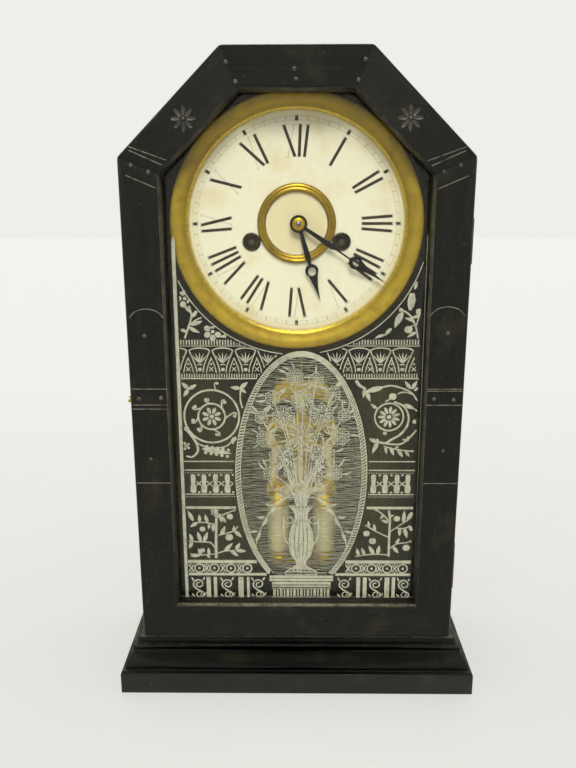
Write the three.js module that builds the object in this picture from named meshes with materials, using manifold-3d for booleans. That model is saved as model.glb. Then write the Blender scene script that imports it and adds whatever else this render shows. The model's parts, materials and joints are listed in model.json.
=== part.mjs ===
// A shelf clock: an ebonised case with slanted shoulders on a moulded base,
// one full-front glazed door, a six-inch dial and an eight-day time and strike movement.
// Millimetres, +X to the viewer's right, +Y to the back, +Z up, origin under the clock's middle.
import * as THREE from "three";
import { mergeVertices } from "three/addons/utils/BufferGeometryUtils.js";
import Module from "manifold-3d";

const wasm = await Module();
wasm.setup();

// Fits shared by all pieces
const SEAT = 0.3; // the gap left where one piece rests against another
const RUNNING = 0.35; // the gap round a turning shaft
const OVERRUN = 1; // how far a cutting shape stands past what it cuts

// Case and door, seen from the front
const CLOCK_HEIGHT = 490.3;
const DOOR_WIDTH = 249.4;
const SHOULDER_ACROSS = 73;
const SHOULDER_DOWN = 72;
const CORNER_ROUND = 3.5;
const RAIL_WIDTH = 29.4;
const DOOR_THICKNESS = 19;
const DOOR_EDGE_ROUND = 1.6;
const SIGHT_BEVEL = 1.8;
const RABBET_WIDTH = 6;
const RABBET_DEPTH = 8;
const GLASS_THICKNESS = 2;
const PUTTY_RISE = 4.6;
const DOOR_GAP = 0.6; // between the closed door and the case
const DOOR_LIFT = 0.8; // between the door and the base below it
const CASE_INSET = 0.5; // how far the case stays inside the door's outline
const BOARD = 9;
const CASE_DEPTH = 82.1;
const BACK_BOARD = 6;
const BACK_INSET = 2;

// Base
const BASE_HEIGHT = 42.6;
const PLINTH_HEIGHT = 18.4;
const BASE_REACH = 14; // the plinth's face in front of the door's
const COVE_REACH = 3; // the top edge of the moulding in front of the door's face
const BASE_MARGIN = 0.5; // that edge's extra reach past the door's sides
const COVE_RISE = 5.4;
const BEAD_REACH = 6.8;
const BEAD_RISE = 2.8;
const LEDGE_SETBACK = 3.6; // from the plinth's face to the foot of the cyma
const LEDGE_RISE = 2.6; // from the top of the plinth's face to the foot of the cyma
const BASE_BOARD = 14;

// Hinges on the right, catch on the left
const HINGE_LENGTH = 32;
const HINGE_LEAF = 1;
const HINGE_LEAF_WIDTH = 12;
const KNUCKLE_RADIUS = 2.1;
const HINGE_PIN_RADIUS = 0.85;
const HINGE_FROM_END = 42;
const CATCH_HEIGHT = 239.5;
const CATCH_BEHIND_DOOR = 5.2;
const CATCH_ARM = 10.8; // from the catch's pivot to the pin it hooks over
const CATCH_THICKNESS = 0.9;
const CATCH_STANDOFF = 1.7;
const CATCH_PIN_RADIUS = 1.2;
const CATCH_PIN_LENGTH = 4;
const CATCH_SCREW_RADIUS = 1.5;

// Dial
const DIAL_FROM_TOP = 20.3; // from the clock's top to the pan's rim
const PAPER_SETBACK = 7; // the dial paper's face behind the case's front edges
const PAPER_THICKNESS = 0.4;
const PAPER_RADIUS = 81.6;
const PAN_THICKNESS = 0.8;
const PAPER_COVERED = 1.9; // how far the bezel laps over the paper's edge
const BEZEL_REACH = 11; // the bezel's outer edge past the paper's
const PAN_REACH = 5.4; // the pan's rim past the bezel
const BEZEL_RISE = 9.2;
const CENTRE_RING_OUTER = 29.2;
const CENTRE_RING_INNER = 22.8;
const CENTRE_RING_RISE = 2.4;
const WINDING_HOLE_RADIUS = 6.4;
const WINDING_ACROSS = 33.5;
const WINDING_DOWN = 13.3;
const ARBOR_ACROSS = 1.4; // the hands' arbor to the right of the dial's middle
const CENTRE_HOLE_RADIUS = 4.6;
const EAR_REACH = 9;
const EAR_WIDTH = 12;
const EAR_RISE = 25;
const CLEAT_HEIGHT = 96;
const CLEAT_DEPTH = 15;

// Hands, at about twenty past five
const MINUTE_HAND_SHORT = 2.6; // from its tip to the paper's edge
const HOUR_HAND_SHORT = 22.1;
const MINUTE_HAND_ANGLE = 123.7;
const HOUR_HAND_ANGLE = 163.8;
const HAND_THICKNESS = 0.6;
const HOUR_HAND_FRONT = 4; // the hour hand's face in front of the paper
const HAND_STEP = 2; // from the hour hand's face to the minute hand's
const HAND_EYE_RADIUS = 5;
const HAND_HUB_RADIUS = 6.5;
const COLLET_RADIUS = 4.9;
const COLLET_RISE = 2.1;
const CENTRE_ARBOR_RADIUS = 1.45;
const PIPE_RADIUS = 2.7;

// Movement
const FRONT_PLATE_SETBACK = 23.4; // behind the dial paper
const PLATE_THICKNESS = 1.6;
const PLATE_SPACING = 30.4;
const PLATE_HALF_WIDTH = 57;
const PLATE_BELOW = 44;
const PLATE_ABOVE = 64;
const PILLAR_RADIUS = 3.2;
const PILLAR_PIVOT_RADIUS = 2;
const FOOT_RADIUS = 4.5;
const PILLAR_FROM_EDGE = 7;
const WINDING_SQUARE = 3.8;
const WINDING_ARBOR_RADIUS = 2.3;
const MOTION_MODULE = 0.6;
const PINION_LEAVES = 12;
const MINUTE_WHEEL_TEETH = 36;
const HOUR_WHEEL_TEETH = 48;
const WHEEL_THICKNESS = 1.2;
const MINUTE_STUD_RADIUS = 0.9;
const PLATE_PLAY = 2; // between a plate and the first wheel behind it
const SQUARE_SETBACK = 3; // from the end of a winding square to the front plate

// Strike: a bell on a stand at the back, and the hammer that rests beside its rim
const BELL_ACROSS = 28; // to the left of the dial's middle
const BELL_BELOW = 66;
const BELL_RADIUS = 22.6;
const BELL_HEIGHT = 15.6; // from its crown to its rim
const BELL_WALL = 1.4;
const BELL_RIM_FROM_BACK = 8;
const BELL_POST_RADIUS = 2.2;
const HAMMER_ACROSS = 22; // its arbor, to the left of the dial's middle
const HAMMER_BELOW = 34;
const HAMMER_ARBOR_RADIUS = 1;
const HAMMER_RADIUS = 4;
const HAMMER_LENGTH = 7;
const HAMMER_GAP = 1; // between the resting hammer and the bell's rim
const HAMMER_BEARING = 20; // degrees above level, seen from the bell's middle

// Pendulum, hung a little to the right of the hands
const PENDULUM_ACROSS = 4;
const SUSPENSION_ABOVE = 52; // the bending point above the hands' centre
const PENDULUM_STANDOFF = 8; // in front of the front plate
const SPRING_THICKNESS = 0.35;
const SPRING_WIDTH = 3;
const SPRING_LENGTH = 15;
const ROD_RADIUS = 0.8;
const ROD_BOW = 6.6;
const VIAL_RADIUS = 9.5;
const VIAL_SPREAD = 19; // from the rod to a vial's middle
const VIAL_BOTTOM = 101.3;
const VIAL_LENGTH = 42;
const CAP_HEIGHT = 18;
const CUP_HEIGHT = 13;
const CREST_HEIGHT = 94;
const CREST_THICKNESS = 1;
const RATING_NUT_RADIUS = 5;
const RATING_NUT_HEIGHT = 3.2;
const SUSPENSION_POST_RADIUS = 2.2;
const VERGE_THICKNESS = 1.4;
const VERGE_STUD_RADIUS = 0.64;
const VERGE_STANDOFF = 1.8; // between the verge and the front plate
const CRUTCH_DROP = 29;
const CRUTCH_WIRE = 0.6;
const ESCAPE_DROP = 18; // the escape wheel's arbor below the verge's
const ESCAPE_RADIUS = 9.8;
const ESCAPE_TEETH = 30;
const ESCAPE_ARBOR_RADIUS = 0.9;

const BASE_DEPTH = BASE_REACH + DOOR_THICKNESS + DOOR_GAP + CASE_DEPTH + SEAT + BACK_BOARD;
const BEZEL_OUTER = PAPER_RADIUS + BEZEL_REACH;
const BEZEL_INNER = PAPER_RADIUS - PAPER_COVERED;
const PAN_RADIUS = BEZEL_OUTER + PAN_REACH;
const MINUTE_HAND_LENGTH = PAPER_RADIUS - MINUTE_HAND_SHORT;
const HOUR_HAND_LENGTH = PAPER_RADIUS - HOUR_HAND_SHORT;
const DIAL_HEIGHT = CLOCK_HEIGHT - DIAL_FROM_TOP - PAN_RADIUS;
const CASE_FRONT = DOOR_THICKNESS + DOOR_GAP;
const PAPER_DEPTH = CASE_FRONT + PAPER_SETBACK;
const FRONT_PLATE_DEPTH = PAPER_DEPTH + FRONT_PLATE_SETBACK;
const PENDULUM_DEPTH = FRONT_PLATE_DEPTH - PENDULUM_STANDOFF;
const ESCAPE_ABOVE = SUSPENSION_ABOVE - ESCAPE_DROP;
const CASE_BACK = CASE_FRONT + CASE_DEPTH;
const DOOR_BOTTOM = BASE_HEIGHT + DOOR_LIFT;
const CASE_HALF_WIDTH = DOOR_WIDTH / 2 - CASE_INSET;

// Materials
function finish(name, colour, roughness, metalness) {
  const material = new THREE.MeshStandardMaterial({ color: colour, roughness, metalness });
  material.name = name;
  return material;
}
const ebonised = finish("ebonised wood", 0x24211e, 0.42, 0);
const rawWood = finish("bare softwood", 0x8a6a45, 0.7, 0);
const brass = finish("lacquered brass", 0xa88c2c, 0.3, 1);
const dullBrass = finish("tarnished brass", 0x7c6a30, 0.5, 1);
const steel = finish("bright steel", 0x8d8f92, 0.35, 1);
const bluedSteel = finish("blued steel", 0x17171a, 0.35, 0.8);
const paper = finish("dial paper", 0xe9e5c8, 0.8, 0);
const clearGlass = finish("clear glass", 0xdfe8e4, 0.05, 0);
const silvered = finish("silvered glass vial", 0xc9c7b4, 0.2, 0.6);
const putty = finish("glazing putty", 0x5b5346, 0.9, 0);

// Everything is placed from the door's face, at floor level
const clock = new THREE.Group();
clock.position.y = BASE_REACH - BASE_DEPTH / 2;

const dialGroup = new THREE.Group();
dialGroup.position.z = DIAL_HEIGHT;
clock.add(dialGroup);

const handsGroup = new THREE.Group();
handsGroup.position.x = ARBOR_ACROSS;
dialGroup.add(handsGroup);

const pendulumGroup = new THREE.Group();
pendulumGroup.position.x = PENDULUM_ACROSS;
clock.add(pendulumGroup);

// Meshes and solids

// Merges shared corners, drops slivers with no area and turns the faces outwards.
function closed(geometry) {
  const bare = geometry.index ? geometry.toNonIndexed() : geometry.clone();
  bare.deleteAttribute("normal");
  bare.deleteAttribute("uv");
  const merged = mergeVertices(bare, 1e-4);
  const place = merged.getAttribute("position");
  const index = merged.getIndex().array;
  const kept = [];
  let volume = 0;
  const [a, b, c] = [new THREE.Vector3(), new THREE.Vector3(), new THREE.Vector3()];
  for (let i = 0; i < index.length; i += 3) {
    const corners = [index[i], index[i + 1], index[i + 2]];
    if (new Set(corners).size < 3) continue;
    a.fromBufferAttribute(place, corners[0]);
    b.fromBufferAttribute(place, corners[1]);
    c.fromBufferAttribute(place, corners[2]);
    volume += a.dot(b.cross(c));
    kept.push(...corners);
  }
  if (volume < 0) kept.reverse();
  merged.setIndex(kept);
  return merged;
}

function toSolid(geometry) {
  const clean = closed(geometry);
  const mesh = new wasm.Mesh({
    numProp: 3,
    vertProperties: new Float32Array(clean.getAttribute("position").array),
    triVerts: new Uint32Array(clean.getIndex().array),
  });
  return new wasm.Manifold(mesh);
}

function toGeometry(solid) {
  const mesh = solid.getMesh();
  const geometry = new THREE.BufferGeometry();
  geometry.setAttribute("position", new THREE.BufferAttribute(mesh.vertProperties, 3));
  geometry.setIndex(new THREE.BufferAttribute(mesh.triVerts, 1));
  return geometry;
}

function join(...geometries) {
  const [first, ...rest] = geometries.map(toSolid);
  return toGeometry(rest.reduce((sum, next) => sum.add(next), first));
}

function cut(geometry, ...cutters) {
  const start = toSolid(geometry);
  return toGeometry(cutters.map(toSolid).reduce((left, next) => left.subtract(next), start));
}

function keepInside(geometry, envelope) {
  return toGeometry(toSolid(geometry).intersect(toSolid(envelope)));
}

function addPiece(name, geometry, material, parent = clock) {
  const mesh = new THREE.Mesh(closed(geometry), material);
  mesh.name = name;
  parent.add(mesh);
  return mesh;
}

// Shapes that stand upright, drawn as seen from the front and given a thickness to the back
function slab(shape, front, thickness, curveSegments = 12) {
  const geometry = new THREE.ExtrudeGeometry(
    shape, { depth: thickness, bevelEnabled: false, curveSegments });
  geometry.rotateX(Math.PI / 2);
  geometry.translate(0, front + thickness, 0);
  return geometry;
}

// Turned about a line from front to back; the profile is [radius, depth]
function turnedFrontToBack(profile, segments = 24) {
  const points = profile.map(([radius, depth]) => new THREE.Vector2(radius, depth));
  return new THREE.LatheGeometry(points, segments);
}

// Turned about an upright line; the profile is [radius, height]
function turnedUpright(profile, segments = 24) {
  const geometry = turnedFrontToBack(profile, segments);
  geometry.rotateX(Math.PI / 2);
  return geometry;
}

function rodFrontToBack(radius, front, back, x = 0, z = 0, segments = 16) {
  const geometry = new THREE.CylinderGeometry(radius, radius, back - front, segments);
  geometry.translate(x, (front + back) / 2, z);
  return geometry;
}

function block(width, depth, height, x, y, z) {
  const geometry = new THREE.BoxGeometry(width, depth, height);
  geometry.translate(x, y, z);
  return geometry;
}

function wire(points, radius, halfSides, steps) {
  const section = new THREE.Shape();
  section.absarc(0, 0, radius, 0, 2 * Math.PI);
  const path = new THREE.CatmullRomCurve3(points.map((point) => new THREE.Vector3(...point)));
  return new THREE.ExtrudeGeometry(section, {
    steps,
    curveSegments: halfSides,
    extrudePath: path,
    bevelEnabled: false,
  });
}

function circleHole(x, y, radius) {
  const hole = new THREE.Path();
  hole.absarc(x, y, radius, 0, 2 * Math.PI, true);
  return hole;
}

function shapeOf(points) {
  return new THREE.Shape(points.map(([x, y]) => new THREE.Vector2(x, y)));
}

// Mitred work: one profile taken along the sides of an outline

// Moves each side of the line to its left and returns the corners where the moved sides meet.
function offsetLine(points, inset, isClosed) {
  const count = points.length;
  const sides = [];
  for (let i = 0; i < (isClosed ? count : count - 1); i += 1) {
    const start = new THREE.Vector2(...points[i]);
    const along = new THREE.Vector2(...points[(i + 1) % count]).sub(start).normalize();
    const left = new THREE.Vector2(-along.y, along.x);
    sides.push({ start: start.addScaledVector(left, inset), along });
  }
  return points.map((point, i) => {
    const before = isClosed ? sides[(i + count - 1) % count] : sides[i - 1];
    const after = sides[i];
    if (!before) return after.start.clone();
    if (!after) {
      const end = new THREE.Vector2(...point).sub(before.start).dot(before.along);
      return before.start.clone().addScaledVector(before.along, end);
    }
    const across = after.start.clone().sub(before.start);
    const reach = across.cross(after.along) / before.along.cross(after.along);
    return before.start.clone().addScaledVector(before.along, reach);
  });
}

// One straight member between two corners; the profile is [inset, level] and place(x, y, level)
// gives the point in space.
function mitredMember(outline, profile, index, isClosed, place) {
  const count = outline.length;
  const next = (index + 1) % count;
  const starts = [];
  const ends = [];
  const closeGap = SEAT / 2;
  for (const [inset, level] of profile) {
    const ring = offsetLine(outline, inset, isClosed);
    const along = ring[next].clone().sub(ring[index]).normalize();
    const startGap = isClosed || index > 0 ? closeGap : 0;
    const endGap = isClosed || next < count - 1 ? closeGap : 0;
    starts.push(place(...ring[index].clone().addScaledVector(along, startGap), level));
    ends.push(place(...ring[next].clone().addScaledVector(along, -endGap), level));
  }
  const flat = profile.map(([inset, level]) => new THREE.Vector2(inset, level));
  const caps = THREE.ShapeUtils.triangulateShape(flat, []);
  const clockwise = THREE.ShapeUtils.isClockWise(flat);
  const triangles = [];
  for (const [i, j, k] of caps) {
    triangles.push(starts[i], starts[j], starts[k]);
    triangles.push(ends[i], ends[k], ends[j]);
  }
  for (let i = 0; i < profile.length; i += 1) {
    const j = (i + 1) % profile.length;
    const [a, b] = clockwise ? [j, i] : [i, j];
    triangles.push(starts[a], ends[a], ends[b]);
    triangles.push(starts[a], ends[b], starts[b]);
  }
  return new THREE.BufferGeometry().setFromPoints(triangles);
}

// The same profile taken all the way round as one piece
function mitredRing(outline, profile, place) {
  const rings = profile.map(([inset, level]) =>
    offsetLine(outline, inset, true).map((corner) => place(...corner, level)));
  const triangles = [];
  for (let i = 0; i < rings.length; i += 1) {
    const here = rings[i];
    const next = rings[(i + 1) % rings.length];
    for (let k = 0; k < outline.length; k += 1) {
      const m = (k + 1) % outline.length;
      triangles.push(here[k], here[m], next[m]);
      triangles.push(here[k], next[m], next[k]);
    }
  }
  return new THREE.BufferGeometry().setFromPoints(triangles);
}

const upright = (x, z, depth) => new THREE.Vector3(x, depth, z);
const level = (x, y, z) => new THREE.Vector3(x, y, z);

// Outline with slanted shoulders, counterclockwise from the lower left
function shoulderedOutline(halfWidth, bottom, top, across, down) {
  return [
    [-halfWidth, bottom],
    [halfWidth, bottom],
    [halfWidth, top - down],
    [halfWidth - across, top],
    [across - halfWidth, top],
    [-halfWidth, top - down],
  ];
}
const doorOutline = shoulderedOutline(
  DOOR_WIDTH / 2, DOOR_BOTTOM, CLOCK_HEIGHT, SHOULDER_ACROSS, SHOULDER_DOWN);
const caseOutline = offsetLine(doorOutline, CASE_INSET, true).map((corner) => [corner.x, corner.y]);
for (const corner of caseOutline.slice(0, 2)) corner[1] = BASE_HEIGHT + SEAT;

const memberNames = ["bottom", "right", "right_shoulder", "top", "left_shoulder", "left"];

// Base: three mitred mouldings and a plain rail behind
function makeBase() {
  const front = COVE_REACH;
  const halfWidth = DOOR_WIDTH / 2 + BASE_MARGIN;
  const back = CASE_BACK + SEAT + BACK_BOARD;
  const plan = [[-halfWidth, back], [-halfWidth, front], [halfWidth, front], [halfWidth, back]];
  const plinthReach = BASE_REACH + COVE_REACH;
  const ledge = plinthReach - LEDGE_SETBACK;
  const edgeShares = [[0, -0.55], [0.15, 0], [0.45, 0.42], [1, 0.5]];
  const profile = [[-BASE_BOARD, 0], [plinthReach, 0]];
  for (const [back, rise] of edgeShares) {
    profile.push([plinthReach - back * LEDGE_SETBACK, PLINTH_HEIGHT + rise * LEDGE_RISE]);
  }
  const cymaLow = PLINTH_HEIGHT + LEDGE_RISE;
  const beadTop = BASE_HEIGHT - COVE_RISE;
  const cymaHigh = beadTop - BEAD_RISE;
  const cymaSteps = 8;
  const swingShare = 0.8;
  for (let i = 0; i <= cymaSteps; i += 1) {
    const share = i / cymaSteps;
    const across = share - (swingShare * Math.sin(2 * Math.PI * share)) / (2 * Math.PI);
    profile.push([ledge + (BEAD_REACH - ledge) * across, cymaLow + (cymaHigh - cymaLow) * share]);
  }
  const beadFace = BEAD_REACH + 0.25 * BEAD_RISE;
  profile.push([beadFace, cymaHigh + 0.2 * BEAD_RISE]);
  profile.push([beadFace, beadTop - 0.2 * BEAD_RISE]);
  profile.push([BEAD_REACH, beadTop]);
  const coveSteps = 3;
  for (let i = 1; i <= coveSteps; i += 1) {
    const turn = (i / coveSteps) * Math.PI / 2;
    profile.push([
      COVE_REACH + (BEAD_REACH - COVE_REACH) * (1 - Math.sin(turn)),
      beadTop + COVE_RISE * (1 - Math.cos(turn)),
    ]);
  }
  profile.push([-BASE_BOARD, BASE_HEIGHT]);
  const inward = profile.map(([out, height]) => [-out, height]);
  ["base_left_moulding", "base_front_moulding", "base_right_moulding"].forEach((name, i) => {
    addPiece(name, mitredMember(plan, inward, i, false, level), ebonised);
  });
  const railWidth = 2 * (halfWidth - BASE_BOARD - SEAT);
  addPiece(
    "base_back_rail",
    block(railWidth, BASE_BOARD, BASE_HEIGHT, 0, back - BASE_BOARD / 2, BASE_HEIGHT / 2),
    rawWood,
  );
}

// Case: six mitred boards and a back
function makeCase() {
  const profile = [[0, CASE_FRONT], [BOARD, CASE_FRONT], [BOARD, CASE_BACK], [0, CASE_BACK]];
  memberNames.forEach((place, i) => {
    addPiece(`case_${place}_board`, mitredMember(caseOutline, profile, i, true, upright), ebonised);
  });
  const back = offsetLine(caseOutline, BACK_INSET, true).map((corner) => [corner.x, corner.y]);
  addPiece("case_back_board", slab(shapeOf(back), CASE_BACK + SEAT, BACK_BOARD), rawWood);
}

// Cleats glued to the side boards, which the dial pan's ears are screwed to
function makeCleats() {
  const outer = CASE_HALF_WIDTH - BOARD - SEAT;
  const inner = PAN_RADIUS + SEAT;
  const front = PAPER_DEPTH + PAPER_THICKNESS + SEAT + PAN_THICKNESS + SEAT;
  for (const [name, side] of [["dial_cleat_left", -1], ["dial_cleat_right", 1]]) {
    const cleat = block(
      outer - inner, CLEAT_DEPTH, CLEAT_HEIGHT,
      side * (outer + inner) / 2, front + CLEAT_DEPTH / 2, DIAL_HEIGHT);
    const limit = offsetLine(caseOutline, BOARD + SEAT, true).map((corner) => [corner.x, corner.y]);
    const envelope = slab(shapeOf(limit), front - OVERRUN, CLEAT_DEPTH + 2 * OVERRUN);
    addPiece(name, keepInside(cleat, envelope), rawWood);
  }
}

// Door: six mitred members rebated for the glass, rounded at the outer edge
function makeDoor() {
  const rabbetInset = RAIL_WIDTH - RABBET_WIDTH;
  const rabbetFront = DOOR_THICKNESS - RABBET_DEPTH;
  const profile = [];
  const roundSteps = 3;
  for (let i = 0; i <= roundSteps; i += 1) {
    const turn = (i / roundSteps) * Math.PI / 2;
    profile.push([
      DOOR_EDGE_ROUND * (1 - Math.sin(turn)),
      DOOR_EDGE_ROUND * (1 - Math.cos(turn)),
    ]);
  }
  profile.reverse();
  profile.push(
    [RAIL_WIDTH - SIGHT_BEVEL, 0],
    [RAIL_WIDTH, SIGHT_BEVEL],
    [RAIL_WIDTH, rabbetFront],
    [rabbetInset, rabbetFront],
    [rabbetInset, DOOR_THICKNESS],
    [0, DOOR_THICKNESS],
  );
  const rounded = roundedOutline(doorOutline, CORNER_ROUND);
  const envelope = slab(rounded, -OVERRUN, DOOR_THICKNESS + 2 * OVERRUN, 4);
  const names = [
    "door_bottom_rail", "door_right_stile", "door_right_shoulder_rail",
    "door_top_rail", "door_left_shoulder_rail", "door_left_stile",
  ];
  names.forEach((name, i) => {
    const member = mitredMember(doorOutline, profile, i, true, upright);
    addPiece(name, keepInside(member, envelope), ebonised);
  });

  const paneFront = rabbetFront + SEAT;
  const pane = offsetLine(doorOutline, rabbetInset + SEAT, true);
  const paneShape = shapeOf(pane.map((corner) => [corner.x, corner.y]));
  addPiece("door_glass", slab(paneShape, paneFront, GLASS_THICKNESS), clearGlass);

  const puttyFront = paneFront + GLASS_THICKNESS + SEAT;
  const puttyProfile = [
    [rabbetInset + SEAT, puttyFront],
    [RAIL_WIDTH - SEAT, puttyFront],
    [rabbetInset + SEAT, puttyFront + PUTTY_RISE],
  ];
  addPiece("glazing_putty", mitredRing(doorOutline, puttyProfile, upright), putty);
}

function roundedOutline(points, radius) {
  const shape = new THREE.Shape();
  const corners = points.map(([x, y]) => new THREE.Vector2(x, y));
  corners.forEach((corner, i) => {
    const before = corners[(i + corners.length - 1) % corners.length];
    const after = corners[(i + 1) % corners.length];
    const from = corner.clone().add(before.clone().sub(corner).setLength(radius));
    const to = corner.clone().add(after.clone().sub(corner).setLength(radius));
    if (i === 0) shape.moveTo(from.x, from.y);
    else shape.lineTo(from.x, from.y);
    shape.quadraticCurveTo(corner.x, corner.y, to.x, to.y);
  });
  shape.closePath();
  return shape;
}

// Butt hinges: two case knuckles, one door knuckle and a pin
function makeHinges() {
  const axisAcross = DOOR_WIDTH / 2 + SEAT + KNUCKLE_RADIUS;
  const axisDepth = DOOR_THICKNESS + DOOR_GAP / 2;
  const knuckle = (HINGE_LENGTH - 2 * RUNNING) / 3;
  const leafAcross = DOOR_WIDTH / 2 + SEAT + HINGE_LEAF / 2;
  const bore = HINGE_PIN_RADIUS + RUNNING;
  const straddle = KNUCKLE_RADIUS + RUNNING;
  const upperBottom = CLOCK_HEIGHT - SHOULDER_DOWN - HINGE_FROM_END - HINGE_LENGTH;
  const lowerBottom = DOOR_BOTTOM + HINGE_FROM_END;
  for (const [name, bottom] of [["upper", upperBottom], ["lower", lowerBottom]]) {
    const barrel = (from) => {
      const piece = new THREE.CylinderGeometry(KNUCKLE_RADIUS, KNUCKLE_RADIUS, knuckle, 16);
      piece.rotateX(Math.PI / 2);
      piece.translate(axisAcross, axisDepth, bottom + from + knuckle / 2);
      return piece;
    };
    const drill = new THREE.CylinderGeometry(bore, bore, HINGE_LENGTH + 2 * OVERRUN, 16);
    drill.rotateX(Math.PI / 2);
    drill.translate(axisAcross, axisDepth, bottom + HINGE_LENGTH / 2);
    const leaf = (side, from, height, reach) => block(
      HINGE_LEAF, reach, height,
      leafAcross, axisDepth + side * reach / 2, bottom + from + height / 2);
    const reach = straddle + HINGE_LEAF_WIDTH;
    const webReach = (side) => side * (straddle + HINGE_LEAF_WIDTH / 2);
    const plate = (side) => block(
      HINGE_LEAF, HINGE_LEAF_WIDTH, HINGE_LENGTH,
      leafAcross, axisDepth + webReach(side), bottom + HINGE_LENGTH / 2);
    const top = HINGE_LENGTH - knuckle;
    const middle = knuckle + RUNNING;
    const caseLeaf = join(
      plate(1), barrel(0), barrel(top), leaf(1, 0, knuckle, reach), leaf(1, top, knuckle, reach));
    const doorLeaf = join(plate(-1), barrel(middle), leaf(-1, middle, knuckle, reach));
    addPiece(`${name}_hinge_case_leaf`, cut(caseLeaf, drill), brass);
    addPiece(`${name}_hinge_door_leaf`, cut(doorLeaf, drill), brass);
    const head = SEAT + HINGE_LEAF;
    const pin = turnedUpright([
      [0, -head], [KNUCKLE_RADIUS - RUNNING, -head], [KNUCKLE_RADIUS - RUNNING, -SEAT],
      [HINGE_PIN_RADIUS, -SEAT], [HINGE_PIN_RADIUS, HINGE_LENGTH + SEAT],
      [KNUCKLE_RADIUS - RUNNING, HINGE_LENGTH + SEAT], [0, HINGE_LENGTH + head],
    ], 12);
    pin.translate(axisAcross, axisDepth, bottom);
    addPiece(`${name}_hinge_pin`, pin, brass);
  }
}

// Catch: a hook on the case's side that turns up over a pin in the door's edge
function makeCatch() {
  const side = -(CASE_HALF_WIDTH);
  const pivotDepth = DOOR_THICKNESS + CATCH_BEHIND_DOOR;
  const boss = 2.6 * CATCH_SCREW_RADIUS;
  const armHalf = 0.24 * CATCH_ARM;
  const noseReach = CATCH_ARM + CATCH_PIN_RADIUS + RUNNING + armHalf;
  const tab = 0.74 * CATCH_ARM;
  const throat = CATCH_PIN_RADIUS + RUNNING;
  const hook = new THREE.Shape();
  hook.moveTo(-armHalf, -noseReach + armHalf);
  hook.quadraticCurveTo(-armHalf, -noseReach, 0, -noseReach);
  hook.quadraticCurveTo(armHalf, -noseReach, armHalf, -noseReach + armHalf);
  hook.lineTo(armHalf, -boss);
  hook.absarc(0, 0, boss, -Math.PI / 4, Math.PI / 3);
  hook.lineTo(0.3 * armHalf, tab);
  hook.lineTo(-0.3 * armHalf, tab);
  hook.absarc(0, 0, boss, 2 * Math.PI / 3, 5 * Math.PI / 4);
  hook.lineTo(-armHalf, -CATCH_ARM + throat);
  hook.lineTo(0, -CATCH_ARM + throat);
  hook.absarc(0, -CATCH_ARM, throat, Math.PI / 2, -Math.PI / 2, true);
  hook.lineTo(-armHalf, -CATCH_ARM - throat);
  hook.closePath();
  hook.holes.push(circleHole(0, 0, CATCH_SCREW_RADIUS + RUNNING));
  const plate = slab(hook, 0, CATCH_THICKNESS, 5);
  plate.rotateZ(Math.PI / 2);
  plate.translate(side - CATCH_STANDOFF, 0, 0);
  const mesh = addPiece("catch_hook", plate, brass);
  mesh.position.set(0, pivotDepth, CATCH_HEIGHT);

  const alongSide = (profile) => {
    const geometry = turnedFrontToBack(profile, 16);
    geometry.rotateZ(Math.PI / 2);
    return geometry;
  };
  const collar = 1.8 * CATCH_SCREW_RADIUS;
  const headStart = CATCH_STANDOFF + CATCH_THICKNESS + SEAT;
  const screw = alongSide([
    [0, SEAT], [collar, SEAT], [collar, CATCH_STANDOFF - SEAT],
    [CATCH_SCREW_RADIUS, CATCH_STANDOFF - SEAT], [CATCH_SCREW_RADIUS, headStart],
    [2 * CATCH_SCREW_RADIUS, headStart], [2 * CATCH_SCREW_RADIUS, headStart + 0.8 * CATCH_SCREW_RADIUS],
    [1.2 * CATCH_SCREW_RADIUS, headStart + 1.8 * CATCH_SCREW_RADIUS],
    [0, headStart + 2.8 * CATCH_SCREW_RADIUS],
  ]);
  screw.translate(side, pivotDepth, CATCH_HEIGHT);
  addPiece("catch_pivot_screw", screw, brass);

  const pin = alongSide([
    [0, SEAT], [1.9 * CATCH_PIN_RADIUS, SEAT], [1.9 * CATCH_PIN_RADIUS, 3 * SEAT],
    [CATCH_PIN_RADIUS, 3 * SEAT], [CATCH_PIN_RADIUS, CATCH_PIN_LENGTH],
    [0.6 * CATCH_PIN_RADIUS, CATCH_PIN_LENGTH + 0.5 * CATCH_PIN_RADIUS],
    [0, CATCH_PIN_LENGTH + 0.7 * CATCH_PIN_RADIUS],
  ]);
  pin.translate(-DOOR_WIDTH / 2, pivotDepth - CATCH_ARM, CATCH_HEIGHT);
  addPiece("catch_door_pin", pin, brass);
}

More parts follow.
